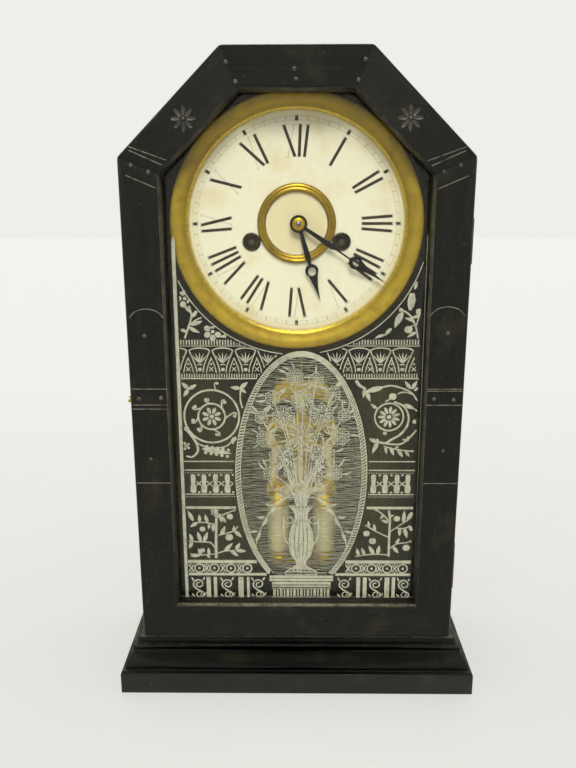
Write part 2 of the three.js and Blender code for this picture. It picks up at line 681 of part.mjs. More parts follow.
// Dial: a pan with a rolled rim, the paper, the bezel and the ring round the hands
function makeDial() {
  const paperBack = PAPER_DEPTH + PAPER_THICKNESS;
  const panFront = paperBack + SEAT;
  const panBack = panFront + PAN_THICKNESS;
  const rimRise = 0.28 * BEZEL_RISE;
  const groove = BEZEL_OUTER + 3 * SEAT;
  const rimWidth = PAN_RADIUS - groove;
  const pan = turnedFrontToBack([
    [0, panBack], [PAN_RADIUS, panBack], [PAN_RADIUS, panFront - 0.3 * rimRise],
    [PAN_RADIUS - 0.2 * rimWidth, panFront - 0.85 * rimRise],
    [PAN_RADIUS - 0.5 * rimWidth, panFront - rimRise],
    [PAN_RADIUS - 0.8 * rimWidth, panFront - 0.8 * rimRise],
    [groove, panFront], [0, panFront],
  ], 40);
  const earReach = PAN_RADIUS + EAR_REACH;
  const ears = [-1, 1].flatMap((side) => [-1, 1].map((end) => {
    const inner = 0.9 * PAN_RADIUS;
    const ear = new THREE.Shape();
    const middle = end * EAR_RISE;
    ear.moveTo(side * inner, middle - EAR_WIDTH / 2);
    ear.lineTo(side * (earReach - EAR_WIDTH / 2), middle - EAR_WIDTH / 2);
    ear.absarc(side * (earReach - EAR_WIDTH / 2), middle, EAR_WIDTH / 2,
      -Math.PI / 2, Math.PI / 2, side < 0);
    ear.lineTo(side * inner, middle + EAR_WIDTH / 2);
    ear.closePath();
    return slab(ear, panFront, PAN_THICKNESS, 4);
  }));
  const through = (radius, x = 0, z = 0) =>
    rodFrontToBack(radius, PAPER_DEPTH - OVERRUN, panBack + OVERRUN, x, z, 24);
  const holes = [
    through(CENTRE_HOLE_RADIUS, ARBOR_ACROSS),
    through(WINDING_HOLE_RADIUS, -WINDING_ACROSS, -WINDING_DOWN),
    through(WINDING_HOLE_RADIUS, WINDING_ACROSS, -WINDING_DOWN),
  ];
  addPiece("dial_pan", cut(join(pan, ...ears), ...holes), dullBrass, dialGroup);

  const sheet = new THREE.Shape();
  sheet.absarc(0, 0, PAPER_RADIUS, 0, 2 * Math.PI);
  sheet.holes.push(
    circleHole(ARBOR_ACROSS, 0, CENTRE_HOLE_RADIUS),
    circleHole(-WINDING_ACROSS, -WINDING_DOWN, WINDING_HOLE_RADIUS),
    circleHole(WINDING_ACROSS, -WINDING_DOWN, WINDING_HOLE_RADIUS),
  );
  addPiece("dial_paper", slab(sheet, PAPER_DEPTH, PAPER_THICKNESS, 14), paper, dialGroup);

  const lip = PAPER_DEPTH - SEAT;
  const seatInner = PAPER_RADIUS + SEAT;
  const width = BEZEL_OUTER - BEZEL_INNER;
  const bezelShares = [
    [0, 0.1], [0.05, 0.22], [0.15, 0.22], [0.2, 0.36], [0.29, 0.76], [0.43, 0.96],
    [0.58, 1], [0.75, 0.88], [0.9, 0.54], [1, 0.08],
  ];
  const bezel = bezelShares.map(([across, rise]) =>
    [BEZEL_INNER + across * width, lip - rise * BEZEL_RISE]);
  bezel.push(
    [BEZEL_OUTER, paperBack], [seatInner, paperBack], [seatInner, lip], [BEZEL_INNER, lip]);
  bezel.push(bezel[0]);
  addPiece("bezel", turnedFrontToBack(bezel, 44), brass, dialGroup);

  const ringWidth = CENTRE_RING_OUTER - CENTRE_RING_INNER;
  const ringShares = [
    [0, 0], [0.06, 0.6], [0.28, 0.95], [0.5, 0.7], [0.72, 1], [0.94, 0.6], [1, 0],
  ];
  const ring = ringShares.map(([across, rise]) =>
    [CENTRE_RING_INNER + across * ringWidth, lip - rise * CENTRE_RING_RISE]);
  ring.push(ring[0]);
  addPiece("dial_centre_ring", turnedFrontToBack(ring, 32), brass, dialGroup);
}

// Hands: a stem that widens to a neck, an eye and a tapered point. Outlines run up the
// right side of a hand that points up, as [share of the length, half-width share].
function makeHands() {
  const hourFront = PAPER_DEPTH - HOUR_HAND_FRONT;
  const minuteFront = hourFront - HAND_STEP;
  const outlineOf = (length, shares, eyeShare, holeRadius, hubRadius, boreRadius) => {
    const hand = new THREE.Shape();
    const eyeCentre = eyeShare * length;
    const rightSide = shares.map(([along, half]) => [half * HAND_EYE_RADIUS, along * length]);
    const leftSide = rightSide.slice().reverse().map(([x, z]) => [-x, z]);
    const stem = [...rightSide, [0, length], ...leftSide];
    stem.forEach(([x, z], i) => (i === 0 ? hand.moveTo(x, z) : hand.lineTo(x, z)));
    const start = Math.acos(rightSide[0][0] / hubRadius);
    hand.absarc(0, 0, hubRadius, Math.PI - start, start, false);
    hand.holes.push(circleHole(0, eyeCentre, holeRadius), circleHole(0, 0, boreRadius));
    return hand;
  };
  const eye = (centre, length) => {
    const shares = [];
    const eyeSteps = 9;
    for (let i = 1; i <= eyeSteps; i += 1) {
      const turn = Math.PI * (i / (eyeSteps + 3) - 0.5);
      shares.push([centre + (Math.sin(turn) * HAND_EYE_RADIUS) / length, Math.cos(turn)]);
    }
    return shares;
  };
  const hourEye = 0.6;
  const hourShares = [
    [0.105, 0.26], [0.44, 0.42], [0.5, 0.24], ...eye(hourEye, HOUR_HAND_LENGTH),
    [0.76, 0.4], [0.82, 0.26],
  ];
  const hour = outlineOf(HOUR_HAND_LENGTH, hourShares, hourEye + 0.012, 0.62 * HAND_EYE_RADIUS,
    HAND_HUB_RADIUS * 0.92, PIPE_RADIUS + SEAT);
  const hourHand = addPiece(
    "hour_hand", slab(hour, hourFront, HAND_THICKNESS, 8), bluedSteel, handsGroup);
  hourHand.rotation.y = THREE.MathUtils.degToRad(HOUR_HAND_ANGLE);

  const minuteEye = 0.645;
  const minuteShares = [
    [0.08, 0.26], [0.38, 0.42], [0.42, 0.14], [0.57, 0.12], ...eye(minuteEye, MINUTE_HAND_LENGTH),
    [0.77, 0.4], [0.86, 0.2],
  ];
  const minute = outlineOf(MINUTE_HAND_LENGTH, minuteShares, minuteEye + 0.006, 0.5 * HAND_EYE_RADIUS,
    HAND_HUB_RADIUS, CENTRE_ARBOR_RADIUS + SEAT);
  const minuteHand = addPiece(
    "minute_hand", slab(minute, minuteFront, HAND_THICKNESS, 8), bluedSteel, handsGroup);
  minuteHand.rotation.y = THREE.MathUtils.degToRad(MINUTE_HAND_ANGLE);

  const colletBack = minuteFront - SEAT;
  const colletBore = CENTRE_ARBOR_RADIUS + SEAT;
  const collet = [
    [colletBore, colletBack], [COLLET_RADIUS, colletBack],
    [COLLET_RADIUS, colletBack - 0.35 * COLLET_RISE],
    [0.88 * COLLET_RADIUS, colletBack - 0.8 * COLLET_RISE],
    [0.7 * COLLET_RADIUS, colletBack - COLLET_RISE], [colletBore, colletBack - COLLET_RISE],
  ];
  collet.push(collet[0]);
  addPiece("hand_collet", turnedFrontToBack(collet, 16), brass, handsGroup);
}

// Wheels and pinions: straight-flanked teeth with play; a tooth stands at angle zero plus phase
function toothed(teeth, module, phase) {
  const pitch = (2 * Math.PI) / teeth;
  const pitchRadius = (teeth * module) / 2;
  const tip = pitchRadius + 0.75 * module;
  const root = pitchRadius - 1.15 * module;
  const shape = new THREE.Shape();
  for (let i = 0; i < teeth; i += 1) {
    const middle = phase + i * pitch;
    const corners = [
      [root, middle - 0.29 * pitch], [tip, middle - 0.1 * pitch],
      [tip, middle + 0.1 * pitch], [root, middle + 0.29 * pitch],
    ];
    corners.forEach(([radius, angle], k) => {
      const [x, y] = [radius * Math.cos(angle), radius * Math.sin(angle)];
      if (i === 0 && k === 0) shape.moveTo(x, y);
      else shape.lineTo(x, y);
    });
  }
  shape.closePath();
  return shape;
}

function wheelWindows(shape, inner, outer, count) {
  const spoke = 0.16 * outer;
  for (let i = 0; i < count; i += 1) {
    const middle = ((i + 0.5) * 2 * Math.PI) / count;
    const half = Math.PI / count;
    const outerHalf = half - spoke / outer / 2;
    const innerHalf = Math.max(half - spoke / inner / 2, 0.3 * half);
    const window = new THREE.Path();
    window.absarc(0, 0, outer, middle - outerHalf, middle + outerHalf, false);
    window.absarc(0, 0, inner, middle + innerHalf, middle - innerHalf, true);
    window.closePath();
    shape.holes.push(window);
  }
}

// Both pairs of the motion work run at the same distance, which gives the hour pair its module.
const motionSpread = (MOTION_MODULE * (PINION_LEAVES + MINUTE_WHEEL_TEETH)) / 2;
const HOUR_MODULE = (2 * motionSpread) / (PINION_LEAVES + HOUR_WHEEL_TEETH);
const motionAngle = (3 * Math.PI) / 4;
const plateBack = FRONT_PLATE_DEPTH + PLATE_THICKNESS;
const hourWheelFront = plateBack + PLATE_PLAY;
const minuteWheelFront = hourWheelFront + 2 * WHEEL_THICKNESS;

// Motion work between the plates: one turn of the hour wheel for twelve of the centre arbor
function makeMotionWork() {
  const arborBack = plateBack + PLATE_SPACING + PLATE_THICKNESS;
  const tip = PAPER_DEPTH - HOUR_HAND_FRONT - HAND_STEP - SEAT - COLLET_RISE;
  const front = tip - 0.9 * CENTRE_ARBOR_RADIUS;
  const cannon = toothed(PINION_LEAVES, MOTION_MODULE, motionAngle);
  const cannonSolid = slab(cannon, minuteWheelFront - SEAT, WHEEL_THICKNESS + 2 * SEAT, 8);
  const arbor = turnedFrontToBack([
    [0, front], [0.7 * CENTRE_ARBOR_RADIUS, front + 0.2 * CENTRE_ARBOR_RADIUS],
    [CENTRE_ARBOR_RADIUS, tip], [CENTRE_ARBOR_RADIUS, arborBack], [0, arborBack],
  ], 12);
  addPiece("centre_arbor", join(arbor, cannonSolid), steel, handsGroup);

  const hourPhase = motionAngle + Math.PI / HOUR_WHEEL_TEETH;
  const hourWheel = toothed(HOUR_WHEEL_TEETH, HOUR_MODULE, hourPhase);
  const hourRim = (HOUR_WHEEL_TEETH * HOUR_MODULE) / 2 - 4 * HOUR_MODULE;
  wheelWindows(hourWheel, 1.7 * PIPE_RADIUS, hourRim, 4);
  const pipeFront = PAPER_DEPTH - HOUR_HAND_FRONT - SEAT;
  const pipe = rodFrontToBack(PIPE_RADIUS, pipeFront, hourWheelFront + WHEEL_THICKNESS, 0, 0, 12);
  const bore = rodFrontToBack(
    CENTRE_ARBOR_RADIUS + RUNNING, pipeFront - OVERRUN,
    hourWheelFront + WHEEL_THICKNESS + OVERRUN, 0, 0, 12);
  const wheelSolid = slab(hourWheel, hourWheelFront, WHEEL_THICKNESS, 3);
  addPiece("hour_wheel", cut(join(pipe, wheelSolid), bore), brass, handsGroup);

  const towards = motionAngle + Math.PI;
  const wheelPhase = towards + Math.PI / MINUTE_WHEEL_TEETH;
  const minuteWheel = toothed(MINUTE_WHEEL_TEETH, MOTION_MODULE, wheelPhase);
  const pinionRadius = (PINION_LEAVES * HOUR_MODULE) / 2;
  const minuteRim = (MINUTE_WHEEL_TEETH * MOTION_MODULE) / 2 - 4 * MOTION_MODULE;
  wheelWindows(minuteWheel, 1.4 * pinionRadius, minuteRim, 3);
  const pinion = toothed(PINION_LEAVES, HOUR_MODULE, towards);
  const pinionLength = minuteWheelFront - hourWheelFront + 2 * SEAT;
  const pinionSolid = slab(pinion, hourWheelFront - SEAT, pinionLength, 6);
  const studBack = minuteWheelFront + WHEEL_THICKNESS;
  const minuteSolid = join(
    slab(minuteWheel, minuteWheelFront, WHEEL_THICKNESS, 3), pinionSolid);
  const studHole = rodFrontToBack(
    MINUTE_STUD_RADIUS + RUNNING, hourWheelFront - 2 * OVERRUN, studBack + OVERRUN, 0, 0, 12);
  const mesh = addPiece("minute_wheel", cut(minuteSolid, studHole), brass, handsGroup);
  mesh.position.set(
    motionSpread * Math.cos(motionAngle), 0, motionSpread * Math.sin(motionAngle));
}

// Movement: two pierced plates on four pillars, whose feet stand on the back board
function makeMovement() {
  const high = PLATE_ABOVE - PILLAR_FROM_EDGE;
  const low = PLATE_BELOW - PILLAR_FROM_EDGE;
  const wide = PLATE_HALF_WIDTH - PILLAR_FROM_EDGE;
  const pillars = [[-wide, -low], [wide, -low], [-wide, high], [wide, high]];
  const outline = (isFront) => {
    const corner = PILLAR_FROM_EDGE;
    const plate = roundedOutline([
      [-PLATE_HALF_WIDTH, -PLATE_BELOW], [PLATE_HALF_WIDTH, -PLATE_BELOW],
      [PLATE_HALF_WIDTH, PLATE_ABOVE], [-PLATE_HALF_WIDTH, PLATE_ABOVE],
    ], corner);
    const window = (points) => plate.holes.push(roundedOutline(points, 0.5 * corner));
    const waist = 0.2 * PLATE_HALF_WIDTH;
    window([
      [-0.3 * wide, -PLATE_BELOW + 1.2 * corner], [0.3 * wide, -PLATE_BELOW + 1.2 * corner],
      [0.12 * wide, -0.35 * PLATE_BELOW], [-0.12 * wide, -0.35 * PLATE_BELOW],
    ]);
    for (const side of [-1, 1]) {
      const inner = side * waist * 1.3;
      const outer = side * (PLATE_HALF_WIDTH - corner);
      const points = [
        [inner, 0.42 * PLATE_ABOVE], [outer, 0.28 * PLATE_ABOVE],
        [outer, 0.7 * PLATE_ABOVE], [inner + side * 0.25 * wide, 0.84 * PLATE_ABOVE],
      ];
      window(side > 0 ? points : points.slice().reverse());
    }
    if (isFront) {
      for (const [x, z] of pillars) plate.holes.push(circleHole(x, z, PILLAR_PIVOT_RADIUS + SEAT));
      plate.holes.push(circleHole(ARBOR_ACROSS, 0, PIPE_RADIUS + RUNNING));
    } else {
      plate.holes.push(circleHole(ARBOR_ACROSS, 0, CENTRE_ARBOR_RADIUS + RUNNING));
    }
    plate.holes.push(
      circleHole(PENDULUM_ACROSS, ESCAPE_ABOVE, ESCAPE_ARBOR_RADIUS + RUNNING),
      circleHole(-HAMMER_ACROSS, -HAMMER_BELOW, HAMMER_ARBOR_RADIUS + RUNNING),
    );
    const windingHole = WINDING_ARBOR_RADIUS + RUNNING;
    for (const side of [-1, 1]) {
      plate.holes.push(circleHole(side * WINDING_ACROSS, -WINDING_DOWN, windingHole));
    }
    return plate;
  };
  const backFront = plateBack + PLATE_SPACING;
  const footBack = CASE_BACK;
  const shank = 0.6 * FOOT_RADIUS;
  const posts = pillars.map(([x, z]) => {
    const tip = FRONT_PLATE_DEPTH - PLATE_THICKNESS;
    const post = turnedFrontToBack([
      [0, tip], [0.8 * PILLAR_PIVOT_RADIUS, tip],
      [PILLAR_PIVOT_RADIUS, FRONT_PLATE_DEPTH], [PILLAR_PIVOT_RADIUS, plateBack + SEAT],
      [PILLAR_RADIUS, plateBack + SEAT], [PILLAR_RADIUS, backFront + PLATE_THICKNESS],
      [shank, backFront + PLATE_THICKNESS], [shank, footBack - 0.3 * FOOT_RADIUS],
      [FOOT_RADIUS, footBack - 0.2 * FOOT_RADIUS], [FOOT_RADIUS, footBack], [0, footBack],
    ], 8);
    post.translate(x, 0, z);
    return post;
  });
  const backPlate = join(slab(outline(false), backFront, PLATE_THICKNESS, 4), ...posts);
  addPiece("movement_back_plate", backPlate, brass, dialGroup);

  const suspensionHigh = SUSPENSION_ABOVE + 2.25 * SUSPENSION_POST_RADIUS;
  const postFront = PENDULUM_DEPTH - 0.5 * SPRING_WIDTH - 0.5 * SUSPENSION_POST_RADIUS;
  const postBack = FRONT_PLATE_DEPTH + PLATE_THICKNESS / 2;
  const post = rodFrontToBack(
    SUSPENSION_POST_RADIUS, postFront, postBack, PENDULUM_ACROSS, suspensionHigh);
  const slit = 6 * SPRING_THICKNESS;
  const slitDepth = SPRING_WIDTH + SUSPENSION_POST_RADIUS;
  const slot = block(
    slit, slitDepth, 3 * SUSPENSION_POST_RADIUS,
    PENDULUM_ACROSS, postFront - OVERRUN + slitDepth / 2, suspensionHigh);
  const vergeStud = rodFrontToBack(
    VERGE_STUD_RADIUS, FRONT_PLATE_DEPTH - VERGE_STANDOFF - VERGE_THICKNESS - 2 * SEAT,
    postBack, PENDULUM_ACROSS, SUSPENSION_ABOVE, 10);
  const minuteStud = rodFrontToBack(
    MINUTE_STUD_RADIUS, postBack,
    minuteWheelFront + WHEEL_THICKNESS + 2 * SEAT,
    ARBOR_ACROSS + motionSpread * Math.cos(motionAngle), motionSpread * Math.sin(motionAngle), 10);
  const front = join(
    slab(outline(true), FRONT_PLATE_DEPTH, PLATE_THICKNESS, 4), post, vergeStud, minuteStud);
  addPiece("movement_front_plate", cut(front, slot), brass, dialGroup);

  for (const [name, side] of [["strike_winding_arbor", -1], ["time_winding_arbor", 1]]) {
    const squareFront = PAPER_DEPTH + PAPER_THICKNESS;
    const squareBack = FRONT_PLATE_DEPTH - SQUARE_SETBACK;
    const square = block(
      WINDING_SQUARE, squareBack - squareFront + OVERRUN, WINDING_SQUARE,
      0, (squareFront + squareBack + OVERRUN) / 2, 0);
    const round = rodFrontToBack(WINDING_ARBOR_RADIUS, squareBack, backFront + PLATE_THICKNESS);
    const mesh = addPiece(name, join(square, round), steel, dialGroup);
    mesh.position.set(side * WINDING_ACROSS, 0, -WINDING_DOWN);
  }
}

// Escape wheel: hooked teeth under the verge, on an arbor that runs in both plates
function makeEscapeWheel() {
  const pitch = (2 * Math.PI) / ESCAPE_TEETH;
  const root = 0.84 * ESCAPE_RADIUS;
  const wheel = new THREE.Shape();
  for (let i = 0; i < ESCAPE_TEETH; i += 1) {
    const tipTurn = i * pitch;
    const rootTurn = tipTurn + 0.3 * pitch;
    const tipAt = [ESCAPE_RADIUS * Math.cos(tipTurn), ESCAPE_RADIUS * Math.sin(tipTurn)];
    if (i === 0) wheel.moveTo(...tipAt);
    else wheel.lineTo(...tipAt);
    wheel.lineTo(root * Math.cos(rootTurn), root * Math.sin(rootTurn));
  }
  wheel.closePath();
  wheelWindows(wheel, 0.28 * ESCAPE_RADIUS, 0.68 * ESCAPE_RADIUS, 3);
  const front = FRONT_PLATE_DEPTH - VERGE_STANDOFF - VERGE_THICKNESS + SEAT;
  const arborBack = plateBack + PLATE_SPACING + PLATE_THICKNESS;
  const arbor = rodFrontToBack(ESCAPE_ARBOR_RADIUS, front, arborBack, 0, 0, 8);
  const thickness = VERGE_THICKNESS - 2 * SEAT;
  const mesh = addPiece(
    "escape_wheel", join(slab(wheel, front, thickness, 3), arbor), brass, dialGroup);
  mesh.position.set(PENDULUM_ACROSS, 0, ESCAPE_ABOVE);
}

// Strike: the bell is turned in one with its post and foot, and the hammer with its arbor
function makeStrike() {
  const rim = CASE_BACK - BELL_RIM_FROM_BACK;
  const crown = rim - BELL_HEIGHT;
  const wallShares = [[0.62, 0.18], [0.86, 0.46], [0.95, 0.84], [1, 1]];
  const inside = (BELL_RADIUS - BELL_WALL) / BELL_RADIUS;
  const outer = wallShares.map(([out, back]) => [out * BELL_RADIUS, crown + back * BELL_HEIGHT]);
  const inner = outer.map(([radius, depth]) => [radius * inside, depth + BELL_WALL * inside]).reverse();
  const foot = 2.6 * BELL_POST_RADIUS;
  const bell = turnedFrontToBack([
    [0, crown - BELL_WALL], [BELL_POST_RADIUS, crown - BELL_WALL], [BELL_POST_RADIUS, crown],
    ...outer, ...inner, [BELL_POST_RADIUS, crown + 2 * BELL_WALL],
    [BELL_POST_RADIUS, CASE_BACK - BELL_POST_RADIUS], [foot, CASE_BACK - BELL_POST_RADIUS],
    [foot, CASE_BACK], [0, CASE_BACK],
  ], 14);
  bell.translate(-BELL_ACROSS, 0, -BELL_BELOW);
  addPiece("bell", bell, steel, dialGroup);

  const bearing = THREE.MathUtils.degToRad(HAMMER_BEARING);
  const fromBell = BELL_RADIUS + HAMMER_GAP + HAMMER_RADIUS;
  const headAcross = HAMMER_ACROSS - BELL_ACROSS + fromBell * Math.cos(bearing);
  const headUp = HAMMER_BELOW - BELL_BELOW + fromBell * Math.sin(bearing);
  const arborFront = FRONT_PLATE_DEPTH - SEAT;
  const headFront = rim - HAMMER_LENGTH / 2;
  const throughPlate = plateBack + PLATE_SPACING + PLATE_THICKNESS + SEAT;
  const arborBack = Math.max(rim + HAMMER_ARBOR_RADIUS, throughPlate);
  const arbor = rodFrontToBack(HAMMER_ARBOR_RADIUS, arborFront, arborBack, 0, 0, 8);
  const head = rodFrontToBack(
    HAMMER_RADIUS, headFront, headFront + HAMMER_LENGTH, headAcross, headUp, 12);
  const arm = wire(
    [[0, rim, 0], [headAcross / 2, rim, headUp / 2], [headAcross, rim, headUp]],
    0.8 * HAMMER_ARBOR_RADIUS, 4, 2);
  const mesh = addPiece("strike_hammer", join(arbor, head, arm), steel, dialGroup);
  mesh.position.set(-HAMMER_ACROSS, 0, -HAMMER_BELOW);
}

// Verge and crutch: a bent pallet strip over the escape wheel, and a wire whose eye holds the rod
function makeVerge() {
  const back = FRONT_PLATE_DEPTH - VERGE_STANDOFF;
  const front = back - VERGE_THICKNESS;
  const hub = 2.2 * ROD_RADIUS + SEAT;
  const reach = CRUTCH_DROP * 0.36;
  const thick = 0.12 * CRUTCH_DROP * 0.5;
  const drop = 0.42 * CRUTCH_DROP;
  const anchor = shapeOf([
    [-hub, 0.3 * hub], [-reach, -0.45 * drop], [-reach - 0.4 * thick, -drop],
    [-reach + thick, -drop + thick],
    [-reach + thick, -0.5 * drop], [-0.6 * hub, -0.9 * hub], [0.6 * hub, -0.9 * hub],
    [reach - thick, -0.5 * drop], [reach - thick, -drop + thick], [reach + 0.4 * thick, -drop],
    [reach, -0.45 * drop], [hub, 0.3 * hub], [0.4 * hub, hub], [-0.4 * hub, hub],
  ]);
  const strip = slab(anchor, front, VERGE_THICKNESS);
  const wireDepth = front - CRUTCH_WIRE;
  const eye = ROD_RADIUS + RUNNING + CRUTCH_WIRE;
  const crutch = wire([
    [0, front + CRUTCH_WIRE, 0.4 * hub], [0, wireDepth, -hub], [0, wireDepth, -0.6 * CRUTCH_DROP],
    [0, wireDepth, -0.94 * CRUTCH_DROP], [0, wireDepth - CRUTCH_WIRE, -CRUTCH_DROP],
    [0, PENDULUM_DEPTH + eye - 0.2 * CRUTCH_WIRE, -CRUTCH_DROP],
  ], CRUTCH_WIRE, 3, 14);
  const ring = new THREE.TorusGeometry(eye, CRUTCH_WIRE, 6, 16);
  ring.translate(0, PENDULUM_DEPTH, -CRUTCH_DROP);
  const drill = rodFrontToBack(
    VERGE_STUD_RADIUS + RUNNING, wireDepth - 2 * OVERRUN, back + OVERRUN, 0, 0, 12);
  const mesh = addPiece("verge_and_crutch", cut(join(strip, crutch, ring), drill), steel, pendulumGroup);
  mesh.position.z = DIAL_HEIGHT + SUSPENSION_ABOVE;
}

// Pendulum: spring and rod, pierced crest with two caps, two vials, a base with two cups, a nut
function makePendulum() {
  const suspension = DIAL_HEIGHT + SUSPENSION_ABOVE;
  const cupBottom = VIAL_BOTTOM - CUP_HEIGHT;
  const vialTop = VIAL_BOTTOM + VIAL_LENGTH;
  const nutTop = cupBottom - SEAT;
  const rodBottom = nutTop - RATING_NUT_HEIGHT - 2 * SPRING_WIDTH;

  const springTop = suspension + 3.2 * SUSPENSION_POST_RADIUS;
  const springBottom = suspension - SPRING_LENGTH;
  const strip = block(
    SPRING_THICKNESS, SPRING_WIDTH, springTop - springBottom,
    0, PENDULUM_DEPTH, (springTop + springBottom) / 2);
  const ferrule = new THREE.CylinderGeometry(1.6 * ROD_RADIUS, 1.6 * ROD_RADIUS, SPRING_LENGTH / 3, 10);
  ferrule.rotateX(Math.PI / 2);
  ferrule.translate(0, PENDULUM_DEPTH, springBottom);
  const straight = (top, bottom) => {
    const piece = new THREE.CylinderGeometry(ROD_RADIUS, ROD_RADIUS, top - bottom, 8);
    piece.rotateX(Math.PI / 2);
    piece.translate(0, PENDULUM_DEPTH, (top + bottom) / 2);
    return piece;
  };
  const bowStart = suspension - CRUTCH_DROP - 3 * ROD_RADIUS;
  const bowEnd = 2 * DIAL_HEIGHT - bowStart;
  const lap = 2 * ROD_RADIUS;
  const bow = [
    [0, bowStart + lap], [0, bowStart], [0.8, DIAL_HEIGHT + 0.5 * (bowStart - DIAL_HEIGHT)],
    [1, DIAL_HEIGHT], [0.8, DIAL_HEIGHT + 0.5 * (bowEnd - DIAL_HEIGHT)], [0, bowEnd],
    [0, bowEnd - lap],
  ];
  const bowPoints = bow.map(([share, height]) => [share * ROD_BOW, PENDULUM_DEPTH, height]);
  const rod = join(
    strip, ferrule, straight(springBottom, bowStart), wire(bowPoints, ROD_RADIUS, 4, 12),
    straight(bowEnd, rodBottom));
  addPiece("pendulum_rod", rod, brass, pendulumGroup);

  for (const [name, side] of [["pendulum_vial_left", -1], ["pendulum_vial_right", 1]]) {
    const rim = 0.06 * VIAL_LENGTH;
    const vial = turnedUpright([
      [0, VIAL_BOTTOM + SEAT], [VIAL_RADIUS - rim, VIAL_BOTTOM + SEAT],
      [VIAL_RADIUS, VIAL_BOTTOM + rim], [VIAL_RADIUS, vialTop - rim],
      [VIAL_RADIUS - rim, vialTop - SEAT], [0, vialTop - SEAT],
    ], 20);
    vial.translate(side * VIAL_SPREAD, PENDULUM_DEPTH, 0);
    addPiece(name, vial, silvered, pendulumGroup);
  }

  const capShares = [
    [0, 0], [1.04, 0], [1.04, 0.12], [0.92, 0.2], [0.98, 0.3], [0.86, 0.44], [0.62, 0.56],
    [0.58, 0.66], [0.74, 0.74], [0.5, 0.86], [0, 0.9],
  ];
  const cap = (side) => {
    const piece = turnedUpright(capShares.map(([radius, rise]) =>
      [radius * VIAL_RADIUS, vialTop + rise * CAP_HEIGHT]), 14);
    piece.translate(side * VIAL_SPREAD, PENDULUM_DEPTH, 0);
    return piece;
  };
  const crestBottom = vialTop + 0.62 * CAP_HEIGHT;
  const crestFront = PENDULUM_DEPTH - ROD_RADIUS - SEAT - CREST_THICKNESS;
  const crest = slab(crestShape(crestBottom), crestFront, CREST_THICKNESS, 2);
  const tie = (side) => block(
    0.9 * VIAL_RADIUS, PENDULUM_DEPTH - crestFront, 0.2 * CAP_HEIGHT,
    side * VIAL_SPREAD, (PENDULUM_DEPTH + crestFront) / 2, crestBottom + 0.1 * CAP_HEIGHT);
  addPiece("pendulum_crest", join(crest, cap(-1), cap(1), tie(-1), tie(1)), brass, pendulumGroup);

  const cupShares = [
    [0, 0], [0.5, 0], [0.72, 0.12], [0.96, 0.42], [1.05, 0.66], [0.98, 0.76], [1.05, 0.84],
    [1.05, 1], [0, 1],
  ];
  const cup = (side) => {
    const piece = turnedUpright(cupShares.map(([radius, rise]) =>
      [radius * VIAL_RADIUS, cupBottom + rise * CUP_HEIGHT]), 14);
    piece.translate(side * VIAL_SPREAD, PENDULUM_DEPTH, 0);
    return piece;
  };
  const bridgeHeight = 0.24 * CUP_HEIGHT;
  const bridge = block(
    2 * VIAL_SPREAD, VIAL_RADIUS, bridgeHeight,
    0, PENDULUM_DEPTH, cupBottom + bridgeHeight / 2);
  const rodHole = new THREE.CylinderGeometry(
    ROD_RADIUS + SEAT, ROD_RADIUS + SEAT, CUP_HEIGHT + 2 * OVERRUN, 12);
  rodHole.rotateX(Math.PI / 2);
  rodHole.translate(0, PENDULUM_DEPTH, cupBottom + CUP_HEIGHT / 2);
  addPiece("pendulum_cups", cut(join(cup(-1), cup(1), bridge), rodHole), brass, pendulumGroup);

  const nut = turnedUpright([
    [ROD_RADIUS + SEAT, nutTop], [RATING_NUT_RADIUS, nutTop],
    [RATING_NUT_RADIUS, nutTop - 0.7 * RATING_NUT_HEIGHT],
    [0.7 * RATING_NUT_RADIUS, nutTop - RATING_NUT_HEIGHT],
    [ROD_RADIUS + SEAT, nutTop - RATING_NUT_HEIGHT], [ROD_RADIUS + SEAT, nutTop],
  ], 16);
  nut.translate(0, PENDULUM_DEPTH, 0);
  addPiece("rating_nut", nut, brass, pendulumGroup);
}

// The pierced crest above the vials: a bar on a stem, a plate and a pair of scroll brackets
function crestShape(bottom) {
  const wide = VIAL_SPREAD + VIAL_RADIUS;
  const at = (x, share) => [x * wide, bottom + share * CREST_HEIGHT];
  const right = [
    at(1, 0), at(1, 0.06), at(0.86, 0.12), at(0.94, 0.24), at(0.84, 0.36), at(0.98, 0.46),
    at(1, 0.6), at(0.8, 0.66), at(0.42, 0.62), at(0.14, 0.7), at(0.1, 0.82), at(0.5, 0.84), at(0.78, 0.8),
    at(0.8, 0.9), at(0.66, 0.98), at(0.3, 1),
  ];
  const left = right.slice().reverse().map(([x, z]) => [-x, z]);
  const shape = new THREE.Shape();
  const outline = [...right, ...left];
  shape.moveTo(...outline[0]);
  shape.splineThru(outline.slice(1).map(([x, z]) => new THREE.Vector2(x, z)));
  shape.closePath();
  for (const side of [-1, 1]) {
    const hole = (points) => {
      const path = new THREE.Path();
      const placed = points.map(([x, share]) => at(side * x, share));
      path.moveTo(...placed[0]);
      path.splineThru([...placed.slice(1), placed[0]].map(([x, z]) => new THREE.Vector2(x, z)));
      shape.holes.push(path);
    };
    hole([[0.2, 0.08], [0.62, 0.08], [0.74, 0.22], [0.6, 0.38], [0.34, 0.4], [0.18, 0.26]]);
    hole([[0.3, 0.48], [0.74, 0.47], [0.84, 0.54], [0.5, 0.56]]);
  }
  return shape;
}

makeBase();
makeCase();
makeCleats();
makeDoor();
makeHinges();
makeCatch();
makeDial();
makeHands();
makeMotionWork();
makeMovement();
makeEscapeWheel();
makeStrike();
makeVerge();
makePendulum();

export default clock;
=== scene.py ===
import json
import math
import random

import bmesh
import bpy
from bpy.props import FloatProperty, FloatVectorProperty, PointerProperty
from mathutils import Matrix, Vector

